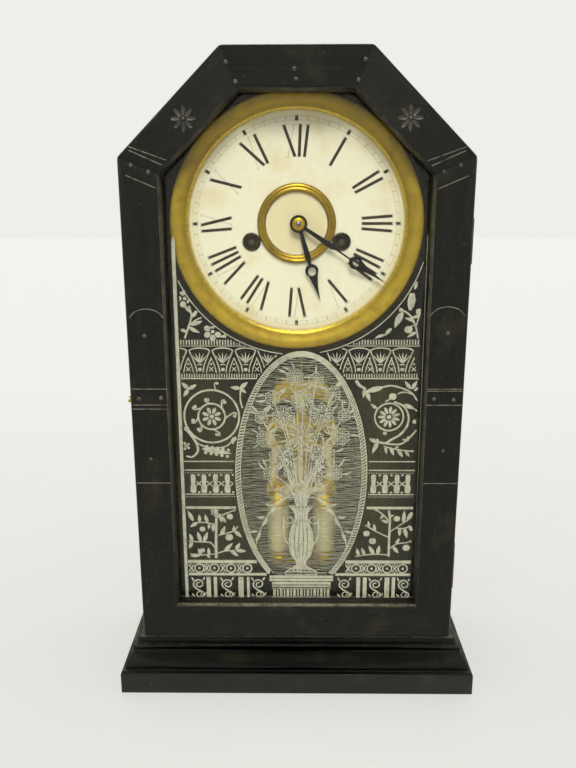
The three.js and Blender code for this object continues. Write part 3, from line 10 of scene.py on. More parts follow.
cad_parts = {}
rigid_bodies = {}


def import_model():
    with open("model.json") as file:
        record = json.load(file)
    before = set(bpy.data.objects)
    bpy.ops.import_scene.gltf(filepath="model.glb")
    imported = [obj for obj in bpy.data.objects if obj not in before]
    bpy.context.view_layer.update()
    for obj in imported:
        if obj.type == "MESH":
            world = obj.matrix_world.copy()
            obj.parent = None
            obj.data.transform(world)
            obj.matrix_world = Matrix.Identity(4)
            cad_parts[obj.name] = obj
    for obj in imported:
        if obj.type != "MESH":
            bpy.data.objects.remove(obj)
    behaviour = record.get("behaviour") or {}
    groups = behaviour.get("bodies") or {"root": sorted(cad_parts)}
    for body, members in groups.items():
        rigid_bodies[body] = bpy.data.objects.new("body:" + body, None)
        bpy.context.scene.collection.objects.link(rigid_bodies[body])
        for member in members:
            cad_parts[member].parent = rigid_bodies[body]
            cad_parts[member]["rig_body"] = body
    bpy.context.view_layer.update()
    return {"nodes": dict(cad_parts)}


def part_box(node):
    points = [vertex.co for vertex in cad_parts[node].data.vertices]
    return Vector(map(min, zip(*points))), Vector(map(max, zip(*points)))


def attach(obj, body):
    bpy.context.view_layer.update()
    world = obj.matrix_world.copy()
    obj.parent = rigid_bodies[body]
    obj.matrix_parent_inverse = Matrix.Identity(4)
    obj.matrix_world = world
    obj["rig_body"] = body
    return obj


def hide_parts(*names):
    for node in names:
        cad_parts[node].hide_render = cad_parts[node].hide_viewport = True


bl_info = {
    "name": "Shelf clock",
    "version": (1, 0, 0),
    "blender": (4, 5, 0),
    "location": "View3D > Sidebar > Shelf clock",
    "description": "Finishes an ebonised shelf clock round its packed model",
    "category": "Object",
}

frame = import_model()
MM = 0.001
TURN = 2 * math.pi

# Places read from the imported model, in metres
DOOR_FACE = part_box("door_bottom_rail")[0].y
GLASS_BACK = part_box("door_glass")[1].y
PAPER_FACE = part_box("dial_paper")[0].y
DIAL = (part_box("bezel")[0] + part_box("bezel")[1]) / 2
PENDULUM = (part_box("pendulum_cups")[0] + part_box("pendulum_cups")[1]) / 2

# Outline of the clock's front, in millimetres
SHOULDER_ACROSS = 73
SHOULDER_DOWN = 72


def linear(code):
    """The linear red, green and blue of an sRGB hex colour."""
    parts = [int(code[i:i + 2], 16) / 255 for i in (0, 2, 4)]
    return tuple(p / 12.92 if p <= 0.04045 else ((p + 0.055) / 1.055) ** 2.4 for p in parts)


def colour(name, code, description):
    """A colour property with its default from an sRGB hex value."""
    return FloatVectorProperty(
        name=name, description=description, subtype="COLOR", size=3,
        min=0, max=1, default=linear(code))


def length(name, default, description):
    """A length property, in millimetres."""
    return FloatProperty(name=name, description=description, default=default, min=0)


class ClockColours(bpy.types.PropertyGroup):
    """The colours of the clock's finishes."""

    ebony: colour("Ebonised wood", "14140f", "Black stain under shellac")
    ebony_grain: colour("Grain", "22211a", "Open grain that took less stain")
    wood_wear: colour("Worn wood", "5b573c", "Wood showing where the stain has gone")
    dust: colour("Dust", "7b7864", "Dust in the carving and on ledges")
    pine: colour("Bare wood", "8a6a44", "Unstained boards behind")
    # inside boards darkened almost black: age and smoke, and painted shade inside the case
    soot: colour("Darkened wood", "55522b", "Boards inside, browned by age and darkened as painted shade")
    brass: colour("Brass", "ad9220", "Yellow brass under old lacquer")
    brass_stain: colour("Brass stain", "6e5a16", "Brown spots in the lacquer")
    tarnish: colour("Tarnish", "564a22", "Thin brass gone dull")
    paper: colour("Dial paper", "dbd7ba", "Cream paper")
    paper_stain: colour("Foxing", "cfbe88", "Brown blotches in the paper")
    # painted shade and reflection of the brass bezel on the paper near it
    bezel_shade_and_reflection: colour("Paper's edge", "c8b673", "Painted shade and brass reflection on the paper beside the bezel")
    ink: colour("Ink", "2c2816", "Black printing on the dial")
    blackened: colour("Blackened brass", "332b15", "Brass gone black at the winding holes")
    silver: colour("Transfer print", "adab91", "Silvery print on the glass")
    blued_steel: colour("Blued steel", "1b1a15", "Hands blued almost to black")
    steel: colour("Steel", "8b8c8e", "Bright turned steel")
    old_steel: colour("Browned steel", "575040", "Winding squares, browned")
    vial: colour("Vial", "ddd097", "Silvery filling seen through glass")
    putty: colour("Putty", "4d463a", "Hardened putty")
    pin: colour("Pin", "b79a8f", "The worn, pinkish end of the hands' pin")
    floor: colour("Floor", "f3f2ee", "Pale surface under the clock")
    surroundings: colour("Surroundings", "efeeea", "Pale background round the clock")


class ClockSizes(bpy.types.PropertyGroup):
    """The sizes, in millimetres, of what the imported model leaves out."""

    arris: length("Arris", 0.45, "Rounding of the wooden edges")
    groove: length("Groove", 0.8, "Width of the scratched lines on the door")
    stud: length("Stud", 1.6, "Radius of a domed stud")
    stud_rise: length("Stud's rise", 0.8, "Height of a stud over the door's face")
    petal: length("Petal", 7.4, "Length of one gouged petal")
    film: length("Film", 0.05, "Thickness of ink and transfer print")
    screw: length("Screw", 2.4, "Radius of a screw's head")
    screw_rise: length("Screw's rise", 1.1, "Height of a screw's dome")


# Nodes and materials

WORN_SHEEN = 0.16  # what dust and wear leave of the shellac's reflection
GRAIN_DRAWN_OUT = 0.06  # how much slower the grain changes along the wood than across it
BROWNER_MIDDLE = (20, 24)  # where the browner paper round the hands ends, mm from them
BEZEL_SHADE_SPAN = (73, 80)  # where the paper beside the bezel takes painted shade and brass reflection
PANE_CLEAR = 0.65  # share of the pane that light passes straight, so that it mirrors faintly


def feed(tree, node, inputs):
    """Gives a node's sockets, by name or number, a value or the output socket that feeds them."""
    for key, value in inputs.items():
        socket = node.inputs[key]
        if isinstance(value, bpy.types.NodeSocket):
            tree.links.new(value, socket)
        else:
            socket.default_value = value


def add(tree, kind, inputs=None, **settings):
    """Adds a node with its settings and its inputs."""
    node = tree.nodes.new(kind)
    for name, value in settings.items():
        setattr(node, name, value)
    feed(tree, node, inputs or {})
    return node


def new_material(name):
    """A material with its tree, its Principled node and its object coordinates."""
    material = bpy.data.materials.new(name)
    material.use_nodes = True
    tree = material.node_tree
    principled = tree.nodes["Principled BSDF"]
    place = add(tree, "ShaderNodeTexCoord").outputs["Object"]
    return material, tree, principled, place


def rgba(rgb, share=1.0):
    """A colour made darker by a share, with the fourth value that sockets need."""
    return (*[c * share for c in rgb], 1)


def noise(tree, place, size_mm, detail=3, roughness=0.5):
    """Noise whose spots are about size_mm across."""
    return add(tree, "ShaderNodeTexNoise", {
        "Vector": place, "Scale": 1000 / size_mm, "Detail": detail, "Roughness": roughness,
    }).outputs["Fac"]


def spread(tree, value, low, high, to_low=0.0, to_high=1.0):
    """Stretches a value between low and high over a new range, and clamps it."""
    return add(tree, "ShaderNodeMapRange", {
        "Value": value, "From Min": low, "From Max": high, "To Min": to_low, "To Max": to_high,
    }).outputs["Result"]


def blend(tree, share, first, second):
    """A mix of two colours."""
    mix = add(tree, "ShaderNodeMix", {0: share, 6: first, 7: second}, data_type="RGBA")
    return mix.outputs[2]


def bump(tree, principled, height, depth_mm, strength=1.0):
    """Raises the surface by a height of up to depth_mm."""
    node = add(tree, "ShaderNodeBump", {
        "Height": height, "Strength": strength, "Distance": depth_mm * MM})
    tree.links.new(node.outputs["Normal"], principled.inputs["Normal"])


def grain_place(tree, place, along):
    """Coordinates with X along the grain, so that a noise can be drawn out along it."""
    if abs(along.y) > 0.5:
        turn = (0, 0, -math.pi / 2)
    else:
        turn = (0, math.atan2(along.z, along.x), 0)
    turned = add(tree, "ShaderNodeMapping", {"Vector": place, "Rotation": turn})
    return add(tree, "ShaderNodeMapping", {
        "Vector": turned.outputs["Vector"], "Scale": (GRAIN_DRAWN_OUT, 1, 1)}).outputs["Vector"]


def ebonised_wood(name, colours, along, sheen=WORN_SHEEN, rough=(0.36, 0.5)):
    """Ebonised poplar under shellac: near black and satin, its pores drawn out along the grain."""
    material, tree, principled, place = new_material(name)
    grain = grain_place(tree, place, along)
    pores = noise(tree, grain, 0.9, 4, 0.6)
    bands = noise(tree, grain, 7, 2)
    cloud = noise(tree, place, 38, 4, 0.6)
    flecks = noise(tree, place, 1.5, 1)
    shown = blend(
        tree, spread(tree, pores, 0.42, 0.7), rgba(colours.ebony), rgba(colours.ebony_grain))
    shown = blend(tree, spread(tree, bands, 0.35, 0.75, 0, 0.5), shown, rgba(colours.ebony, 0.6))
    rubbed = spread(tree, cloud, 0.56, 0.78, 0, 0.4)
    shown = blend(tree, rubbed, shown, rgba(colours.wood_wear, 0.55))
    shown = blend(tree, spread(tree, flecks, 0.76, 0.79, 0, 0.35), shown, rgba(colours.dust))
    feed(tree, principled, {
        "Base Color": shown, "Roughness": spread(tree, cloud, 0.3, 0.7, *rough),
        "IOR": 1.5, "Specular IOR Level": sheen})
    bump(tree, principled, pores, 0.06, 0.5)
    return material


def worn_wood(name, colours, low, high):
    """The rubbed edges of the same wood, where the black breaks up and the wood shows."""
    material, tree, principled, place = new_material(name)
    rub = spread(tree, noise(tree, place, 9, 5, 0.7), low, high)
    shown = blend(tree, rub, rgba(colours.ebony_grain), rgba(colours.wood_wear))
    feed(tree, principled, {"Base Color": shown, "Roughness": 0.38})
    return material


def dust_and_highlight_wood(name, colours, most):
    """Black wood where dust has settled, in a cut line or on a ledge; where it faces up it is also
    a painted highlight.
    """
    material, tree, principled, place = new_material(name)
    dusty = spread(tree, noise(tree, place, 6, 4, 0.7), 0.32, 0.58, 0, most)
    shown = blend(tree, dusty, rgba(colours.ebony_grain), rgba(colours.dust))
    feed(tree, principled, {"Base Color": shown, "Roughness": 0.75})
    return material


def bare_wood(name, shade, dirty):
    """Unplaned, unstained softwood, browned by age and by smoke; darkened further, it also paints
    the shade inside the case.
    """
    material, tree, principled, place = new_material(name)
    grain = grain_place(tree, place, Vector((0, 0, 1)))
    rings = noise(tree, grain, 6, 4, 0.6)
    dirt = noise(tree, place, 60, 4)
    shown = blend(tree, spread(tree, rings, 0.35, 0.7), rgba(shade), rgba(shade, 0.5))
    shown = blend(tree, spread(tree, dirt, 0.4, 0.7, 0, 0.6), shown, rgba(dirty, 0.5))
    feed(tree, principled, {
        "Base Color": shown, "Roughness": 0.8, "Specular IOR Level": WORN_SHEEN})
    bump(tree, principled, rings, 0.15, 0.6)
    return material


def aged_brass(name, main, stain, rough, spot_mm=7, bare=1):
    """Yellow brass under old lacquer: brown spots and a patchy shine; bare is its metal share."""
    material, tree, principled, place = new_material(name)
    spots = noise(tree, place, spot_mm, 5, 0.65)
    cloud = noise(tree, place, 4 * spot_mm, 3)
    shown = blend(tree, spread(tree, spots, 0.5, 0.72, 0, 0.75), rgba(main), rgba(stain))
    shown = blend(tree, spread(tree, cloud, 0.4, 0.7, 0, 0.4), shown, rgba(stain))
    feed(tree, principled, {
        "Base Color": shown, "Roughness": spread(tree, spots, 0.35, 0.7, *rough),
        "Metallic": bare})
    bump(tree, principled, spots, 0.03, 0.4)
    return material


def plain_steel(name, shade, roughness):
    """Turned or blued steel, with fine scratches that vary its shine."""
    material, tree, principled, place = new_material(name)
    scratches = noise(tree, place, 1.4, 4, 0.7)
    shown = blend(tree, spread(tree, scratches, 0.3, 0.7), rgba(shade), rgba(shade, 0.7))
    patchy = spread(tree, scratches, 0.3, 0.7, roughness, roughness + 0.15)
    feed(tree, principled, {"Base Color": shown, "Roughness": patchy, "Metallic": 1})
    return material


def dial_paper(colours):
    """Printed paper on a tin pan: cream, foxed in patches, a little greyer inside the ring, with
    painted shade and brass reflection beside the bezel.
    """
    material, tree, principled, place = new_material("dial paper, foxed")
    patches = noise(tree, place, 26, 5, 0.6)
    fibres = noise(tree, place, 1.1, 3)
    stain = rgba(colours.paper_stain)
    shown = blend(tree, spread(tree, patches, 0.52, 0.75, 0, 0.7), rgba(colours.paper), stain)
    shown = blend(tree, spread(tree, fibres, 0.3, 0.7, 0, 0.12), shown, stain)
    math_node = "ShaderNodeVectorMath"
    centred = add(tree, math_node, {0: place, 1: DIAL}, operation="SUBTRACT").outputs[0]
    flat = add(tree, math_node, {0: centred, 1: (1, 0, 1)}, operation="MULTIPLY").outputs[0]
    out = add(tree, math_node, {0: flat}, operation="LENGTH").outputs["Value"]
    middle, edge = ([reach * MM for reach in span] for span in (BROWNER_MIDDLE, BEZEL_SHADE_SPAN))
    # browner inside the centre ring
    shown = blend(tree, spread(tree, out, *middle, 0.7, 0), shown, stain)
    # painted shade and reflection of the brass bezel, browning the paper near its edge
    shown = blend(tree, spread(tree, out, *edge, 0, 0.5), shown, rgba(colours.bezel_shade_and_reflection))
    feed(tree, principled, {"Base Color": shown, "Roughness": 0.62})
    bump(tree, principled, fibres, 0.03, 0.3)
    return material


def flat_ink(name, shade, roughness, worn_to, size_mm, sheen=0.5):
    """A thin printed film whose tone varies a little."""
    material, tree, principled, place = new_material(name)
    rub = noise(tree, place, size_mm, 4, 0.7)
    shown = blend(tree, spread(tree, rub, 0.45, 0.75), rgba(shade), rgba(worn_to))
    feed(tree, principled, {
        "Base Color": shown, "Roughness": roughness, "Specular IOR Level": sheen})
    return material


def window_glass():
    """Old sheet glass, clear and slightly uneven; lamps light what is behind it."""
    material, tree, principled, place = new_material("old window glass")
    feed(tree, principled, {
        "Base Color": rgba(linear("f4f8f4")), "Roughness": 0, "IOR": 1.5,
        "Transmission Weight": 1})
    bump(tree, principled, noise(tree, place, 60, 1), 0.25, 0.15)
    light_path = add(tree, "ShaderNodeLightPath")
    clear = add(tree, "ShaderNodeBsdfTransparent")
    share = spread(tree, light_path.outputs["Is Shadow Ray"], 0, 1, PANE_CLEAR, 1)
    mix = add(tree, "ShaderNodeMixShader", {
        0: share, 1: principled.outputs[0], 2: clear.outputs[0]})
    tree.links.new(mix.outputs[0], tree.nodes["Material Output"].inputs["Surface"])
    return material


def silvered_vial(colours):
    """A glass tube with a silvery filling, seen as one smooth cream surface under clear glass."""
    material, tree, principled, place = new_material("silvered glass vial")
    cloud = spread(tree, noise(tree, place, 14, 3), 0.4, 0.7, 0, 0.6)
    shown = blend(tree, cloud, rgba(colours.vial), rgba(colours.vial, 0.7))
    feed(tree, principled, {
        "Base Color": shown, "Metallic": 0.25, "Roughness": 0.35,
        "Coat Weight": 1, "Coat Roughness": 0.05})
    return material


def dry_putty(colours):
    """Hard glazing putty, dull and grainy."""
    material, tree, principled, place = new_material("dry glazing putty")
    grit = noise(tree, place, 1.2, 4)
    shown = blend(
        tree, spread(tree, grit, 0.3, 0.7), rgba(colours.putty), rgba(colours.putty, 0.6))
    feed(tree, principled, {"Base Color": shown, "Roughness": 0.9})
    bump(tree, principled, grit, 0.2)
    return material


FINISHES = {}
WOOD = {}
BASE_WOOD = {}


def make_finishes(colours):
    """Fills the table of finishes that the pieces choose from."""
    FINISHES.update(
        worn=worn_wood("ebonised wood, worn arris", colours, 0.4, 0.62),
        rubbed=worn_wood("ebonised wood, faintly rubbed", colours, 0.42, 0.95),
        # dust in the cut lines; on the rails' upward chamfers also a painted highlight
        groove=dust_and_highlight_wood("ebonised wood, cut line dust and painted highlight", colours, 1),
        ledge=dust_and_highlight_wood("ebonised wood, dusty ledge with painted highlight", colours, 0.6),
        pine=bare_wood("aged bare pine", colours.pine, colours.wood_wear),
        # inside boards darkened almost black: age and smoke, and painted shade inside the case
        soot=bare_wood("pine, smoked and in painted shade, almost black", colours.soot, colours.ebony_grain),
        brass=aged_brass("lacquered brass", colours.brass, colours.brass_stain, (0.36, 0.52)),
        bezel=aged_brass(
            "bezel, browned lacquer", linear("a08602"), linear("7e6502"), (0.58, 0.7), 9, 0.5),
        bright=aged_brass("polished brass", linear("c2a53a"), colours.brass, (0.22, 0.34), 3),
        gilt=aged_brass(
            "pressed brass, gilt lacquer", linear("e2c022"), linear("a88a14"), (0.42, 0.58), 3),
        spun=aged_brass(
            "spun brass, browned", linear("9c7f22"), colours.brass_stain, (0.3, 0.42), 5),
        blackened=aged_brass(
            "blackened brass", colours.blackened, rgba(colours.blackened, 0.5)[:3],
            (0.35, 0.5), 4),
        pin=plain_steel("worn steel pin", colours.pin, 0.25),
        dull=aged_brass(
            "tarnished brass", colours.tarnish, rgba(colours.tarnish, 0.4)[:3], (0.4, 0.6), 5),
        paper=dial_paper(colours),
        ink=flat_ink("printing ink", colours.ink, 0.7, rgba(colours.ink, 2)[:3], 5, 0.1),
        thin_print=flat_ink(
            "thin transfer print", rgba(colours.silver, 0.75)[:3], 0.6,
            rgba(colours.silver, 0.4)[:3], 9),
        print=flat_ink(
            "silver transfer print", colours.silver, 0.6, rgba(colours.silver, 0.5)[:3], 4),
        blued=plain_steel("blued steel", colours.blued_steel, 0.35),
        steel=plain_steel("bright steel", colours.steel, 0.3),
        old_steel=plain_steel("browned steel", colours.old_steel, 0.35),
        glass=window_glass(),
        vial=silvered_vial(colours),
        putty=dry_putty(colours),
    )


# Pieces

SMOOTH = 35  # the steepest edge, in degrees, that is still shaded smooth
NEAR = 1e-6  # corners nearer than this, in metres, become one
FLAT = 0.4  # faces that lie within this angle, in degrees, become one
SUNK = 0.3  # how deep a screw or stud reaches into what carries it, mm


def mesh_from(bm, name):
    """A mesh of a bmesh, which is used up."""
    mesh = bpy.data.meshes.new(name)
    bm.to_mesh(mesh)
    bm.free()
    return mesh


def put(name, data):
    """An object in the scene that holds the data."""
    made = bpy.data.objects.new(name, data)
    bpy.context.scene.collection.objects.link(made)
    return made


def final_mesh(holder):
    """The mesh that an object's modifiers or curve give; the object is used up."""
    graph = bpy.context.evaluated_depsgraph_get()
    mesh = bpy.data.meshes.new_from_object(holder.evaluated_get(graph), depsgraph=graph)
    bpy.data.objects.remove(holder)
    return mesh


def give(mesh, finishes):
    """Adds finishes to a mesh, each a key of the table or a material."""
    for finish in finishes:
        mesh.materials.append(FINISHES[finish] if isinstance(finish, str) else finish)


def dress(node, finish):
    """Gives a CAD node one of the finishes."""
    mesh = frame["nodes"][node].data
    mesh.materials.clear()
    give(mesh, [finish])


def settle(bm, name, body, materials, replaces=(), smooth=SMOOTH):
    """Turns a bmesh in metres into a piece that rides on a body."""
    return settle_mesh(mesh_from(bm, name), name, body, materials, replaces, smooth)


def settle_mesh(mesh, name, body, materials, replaces=(), smooth=SMOOTH):
    """The same for a mesh; smooth 0 shades it flat and None leaves its shading as it is."""
    mesh.name = name
    if smooth:
        mesh.shade_smooth()
        mesh.set_sharp_from_angle(angle=math.radians(smooth))
    elif smooth is not None:
        mesh.shade_flat()
    if not mesh.materials:
        give(mesh, materials)
    piece = put(name, mesh)
    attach(piece, body)
    if replaces:
        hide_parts(*replaces)
    return piece


def evaluated(mesh, materials, build):
    """Runs modifiers over a mesh and returns the mesh that they give."""
    give(mesh, materials)
    holder = put("holder", mesh)
    build(holder)
    return final_mesh(holder)


def cut_by(holder, cutter):
    """Takes one object's shape off another."""
    cut = holder.modifiers.new("cut", "BOOLEAN")
    cut.operation = "DIFFERENCE"
    cut.solver = "EXACT"
    cut.object = cutter


def without(mesh, materials, cutter_bm):
    """A mesh less the shape of a bmesh."""
    cutter = put("cutter", mesh_from(cutter_bm, "cutter"))
    done = evaluated(mesh, materials, lambda holder: cut_by(holder, cutter))
    bpy.data.objects.remove(cutter)
    return done


def quarter(centre, across, up, steps=5):
    """A quarter of an ellipse, from its side to its top."""
    turns = [math.pi / 2 * i / steps for i in range(steps + 1)]
    return [(centre[0] + across * math.cos(t), centre[1] + up * math.sin(t)) for t in turns]


def turned(profile, centre, axis, steps=96):
    """A solid or ring turned about an axis; the profile is [radius, place along the axis], mm."""
    bm = bmesh.new()
    axis = Vector(axis)
    out = Vector((1, 0, 0)) if abs(axis.x) < 0.5 else Vector((0, 0, 1))
    points = [
        bm.verts.new(centre + out * radius * MM + axis * along * MM) for radius, along in profile]
    ring = profile[0][0] > 0 and profile[-1][0] > 0
    edges = [bm.edges.new(pair) for pair in zip(points, points[1:])]
    if ring:
        edges.append(bm.edges.new((points[-1], points[0])))
    bmesh.ops.spin(
        bm, geom=points + edges, cent=centre, axis=axis, angle=TURN, steps=steps, use_merge=True)
    bmesh.ops.remove_doubles(bm, verts=bm.verts, dist=NEAR)
    bmesh.ops.recalc_face_normals(bm, faces=bm.faces)
    return bm


def join_bmeshes(*parts):
    """One bmesh that holds all the parts."""
    whole = parts[0]
    for part in parts[1:]:
        mesh = mesh_from(part, "part")
        whole.from_mesh(mesh)
        bpy.data.meshes.remove(mesh)
    return whole


def merged_copy(node):
    """A bmesh copy of a CAD node with its corners merged and its flat faces whole."""
    bm = bmesh.new()
    bm.from_mesh(frame["nodes"][node].data)
    bmesh.ops.remove_doubles(bm, verts=bm.verts, dist=NEAR)
    bmesh.ops.dissolve_limit(
        bm, angle_limit=math.radians(FLAT), verts=bm.verts, edges=bm.edges,
        use_dissolve_boundaries=False)
    return bm


def body_of(node):
    """The body that a CAD node is on."""
    return frame["nodes"][node]["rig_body"]


def settle_node(mesh, node, smooth):
    """A finished mesh in the place of the CAD node that it was made from."""
    return settle_mesh(mesh, f"{node}_finished", body_of(node), [], [node], smooth)


def eased_copy(node, material, width_mm, angle=30):
    """A CAD node's own shape with its sharp edges eased."""
    def build(holder):
        bevel = holder.modifiers.new("ease", "BEVEL")
        bevel.width = width_mm * MM
        bevel.segments = 2
        bevel.limit_method = "ANGLE"
        bevel.angle_limit = math.radians(angle)
        bevel.use_clamp_overlap = True

    done = evaluated(mesh_from(merged_copy(node), node), [material], build)
    return settle_node(done, node, SMOOTH)


def screws(name, spots, body, finish, sizes, share=1.0):
    """Slotted, domed screws; a spot is a head's seat, the way it faces and its slot's angle."""
    radius, rise = sizes.screw * share, sizes.screw_rise * share
    section = [(0, -SUNK), (radius, -SUNK), *quarter((0, 0), radius, rise)]
    head = mesh_from(turned(section, Vector(), (0, 0, 1), 24), "screw_head")
    slot_size = Matrix.Diagonal((3 * radius * MM, 0.28 * radius * MM, rise * MM, 1))
    bm = bmesh.new()
    bmesh.ops.create_cube(bm, size=1, matrix=Matrix.Translation((0, 0, rise * MM)) @ slot_size)
    head = without(head, [], bm)
    whole = bmesh.new()
    for place, facing, angle in spots:
        turn = Vector(facing).to_track_quat("Z", "Y").to_matrix().to_4x4()
        copy = head.copy()
        copy.transform(
            Matrix.Translation(place) @ turn @ Matrix.Rotation(math.radians(angle), 4, "Z"))
        whole.from_mesh(copy)
        bpy.data.meshes.remove(copy)
    return settle(whole, name, body, [finish])


# Lines drawn with a brush, in millimetres on an upright plane

def through(points, steps=6):
    """Points on a smooth curve that passes through the given ones."""
    ends = [points[0], *points, points[-1]]
    drawn = []
    for k in range(len(points) - 1):
        a, b, c, d = (Vector(ends[k + i]) for i in range(4))
        for i in range(steps + (k == len(points) - 2)):
            t = i / steps
            drawn.append(tuple(0.5 * (
                2 * b + (c - a) * t + (2 * a - 5 * b + 4 * c - d) * t * t
                + (3 * b - a - 3 * c + d) * t ** 3)))
    return drawn


def polar(centre, reach, angle):
    """A point at a distance from a centre, in degrees from the right, counterclockwise."""
    turn = math.radians(angle)
    return centre[0] + reach * math.cos(turn), centre[1] + reach * math.sin(turn)


def each(width, points):
    """A width for each point, from one width for all or from a list."""
    return width if isinstance(width, (list, tuple)) else [width] * len(points)


# Shares of a stroke's length and of its greatest width
LEAF_SHARES = ((0, 0.25), (0.2, 0.8), (0.45, 1), (0.75, 0.62), (1, 0.06))
PETAL_SHARES = ((0, 0.5), (0.35, 0.95), (0.7, 1), (1, 0.35))


class Pen:
    """Collects strokes, each of (x, z) points with one width or a width for each point."""

    def __init__(self, keep=None):
        self.lines = []
        self.keep = keep or (lambda x, z: True)

    def stroke(self, points, width):
        run = []
        for (x, z), wide in zip(points, each(width, points)):
            if self.keep(x, z):
                run.append((x, z, wide))
                continue
            self.close(run)
            run = []
        self.close(run)

    def close(self, run):
        if len(run) > 1:
            self.lines.append(run)

    def straight(self, start, end, width, step=1):
        """A straight line, cut where it isn't kept, with points only at its ends."""
        span = math.dist(start, end)
        count = max(2, int(span / step))
        run = []
        for i in range(count + 1):
            x, z = (a + (b - a) * i / count for a, b in zip(start, end))
            if self.keep(x, z):
                run.append((x, z, width))
                continue
            self.close(run[:1] + run[-1:] if len(run) > 1 else [])
            run = []
        self.close(run[:1] + run[-1:] if len(run) > 1 else [])

    def arc(self, centre, radius, start, end, width, steps=12, squash=1.0):
        """Part of a circle or ellipse, in degrees from the right, counterclockwise."""
        points = []
        for i in range(steps + 1):
            angle = math.radians(start + (end - start) * i / steps)
            points.append((
                centre[0] + radius * math.cos(angle),
                centre[1] + radius * squash * math.sin(angle)))
        self.stroke(points, width)

    def leaf(self, base, size, width, angle, bend=0.0):
        """A leaf that swells and comes to a point, its tip turned by bend degrees."""
        points = [polar(base, size * along, angle + bend * along) for along, _ in LEAF_SHARES]
        self.stroke(points, [width * wide for _, wide in LEAF_SHARES])

    def leaf_to(self, base, tip, stout=0.42):
        """A leaf from its base to its tip, with a width that goes with its length."""
        size = math.dist(base, tip)
        angle = math.degrees(math.atan2(tip[1] - base[1], tip[0] - base[0]))
        self.leaf(base, size, min(3.4, max(1.8, stout * size)), angle)

    def dot(self, centre, radius):
        """A round dot, drawn as a short stroke that swells."""
        x, z = centre
        self.stroke(
            [(x - radius, z), (x - radius * 0.5, z), (x + radius * 0.5, z), (x + radius, z)],
            [radius * 0.8, radius * 1.8, radius * 1.8, radius * 0.8])

    def rosette(self, centre, radius, petals, width, core=0.2):
        """Petals round an open middle with a dot in it."""
        for i in range(petals):
            angle = 360 * (i + 0.5) / petals
            start = polar(centre, 0.34 * radius, angle)
            points = [polar(start, 0.66 * radius * along, angle) for along, _ in PETAL_SHARES]
            self.stroke(points, [width * wide for _, wide in PETAL_SHARES])
        self.dot(centre, radius * core)

    def curl(self, centre, radius, start, turns, width, tight=0.25, side=1):
        """A spiral that winds in from its outer radius; side 1 is counterclockwise."""
        steps = max(8, int(abs(turns) * 14))
        points, widths = [], []
        for i in range(steps + 1):
            share = i / steps
            reach = radius * (1 - (1 - tight) * share)
            points.append(polar(centre, reach, start + side * 360 * turns * share))
            widths.append(width * (1 - 0.35 * share))
        self.stroke(points, widths)

    def smooth(self, points, width, steps=6):
        """A curve through a few points, with widths blended between them."""
        widths = each(width, points)
        drawn = through(points, steps)
        wide = []
        for i in range(len(drawn)):
            k, t = divmod(i / steps, 1)
            after = min(int(k) + 1, len(widths) - 1)
            wide.append(widths[int(k)] + (widths[after] - widths[int(k)]) * t)
        self.stroke(drawn, wide)
        return drawn

    def mesh(self, name, depth, thickness=None):
        """The strokes as four-sided tubes about a depth, pressed flat to a thickness in metres."""
        curve = bpy.data.curves.new(name, "CURVE")
        curve.dimensions = "3D"
        curve.bevel_depth = MM / 2
        curve.bevel_resolution = 0
        curve.use_fill_caps = True
        for line in self.lines:
            spline = curve.splines.new("POLY")
            spline.points.add(len(line) - 1)
            for point, (x, z, wide) in zip(spline.points, line):
                point.co = (x * MM, 0, z * MM, 1)
                point.radius = wide
        drawn = final_mesh(put(name, curve))
        bpy.data.curves.remove(curve)
        bm = bmesh.new()
        bm.from_mesh(drawn)
        bpy.data.meshes.remove(drawn)
        bmesh.ops.remove_doubles(bm, verts=bm.verts, dist=1e-7)
        if thickness is not None:
            for vert in bm.verts:
                vert.co.y = math.copysign(thickness / 2, vert.co.y) if abs(vert.co.y) > 1e-7 else 0
        bmesh.ops.translate(bm, verts=bm.verts, vec=(0, depth, 0))
        bmesh.ops.recalc_face_normals(bm, faces=bm.faces)
        return bm


# Woodwork

SLOPE_LEFT = Vector((SHOULDER_ACROSS, 0, SHOULDER_DOWN)).normalized()
SLOPE_RIGHT = Vector((-SHOULDER_ACROSS, 0, SHOULDER_DOWN)).normalized()
ALONG = {"across": Vector((1, 0, 0)), "up": Vector((0, 0, 1)), "back": Vector((0, 1, 0)),
         "left_slope": SLOPE_LEFT, "right_slope": SLOPE_RIGHT}
DOOR_MEMBERS = {
    "door_bottom_rail": "across", "door_top_rail": "across",
    "door_left_stile": "up", "door_right_stile": "up",
    "door_left_shoulder_rail": "left_slope", "door_right_shoulder_rail": "right_slope",
}
CASE_MEMBERS = {
    "case_bottom_board": "across", "case_top_board": "across",
    "case_left_board": "up", "case_right_board": "up",
    "case_left_shoulder_board": "left_slope", "case_right_shoulder_board": "right_slope",
    "base_front_moulding": "across", "base_left_moulding": "back", "base_right_moulding": "back",
}
LEDGE = 0.8  # how squarely a face of the base looks up, to hold dust and a painted highlight
BASE_WEAR = 2  # how much rounder than the rest the base's arrises are worn
JOINT_CLOSING = 0.13  # how far each mitre is brought towards its neighbour, mm

BACK_SCREWS = (68, 180, 292, 404)  # heights of the back board's screws
BACK_SCREW_IN = 8  # from the back board's edge to its screws
BORE_SHARE = 1.4  # a sunk hole's radius over its screw's

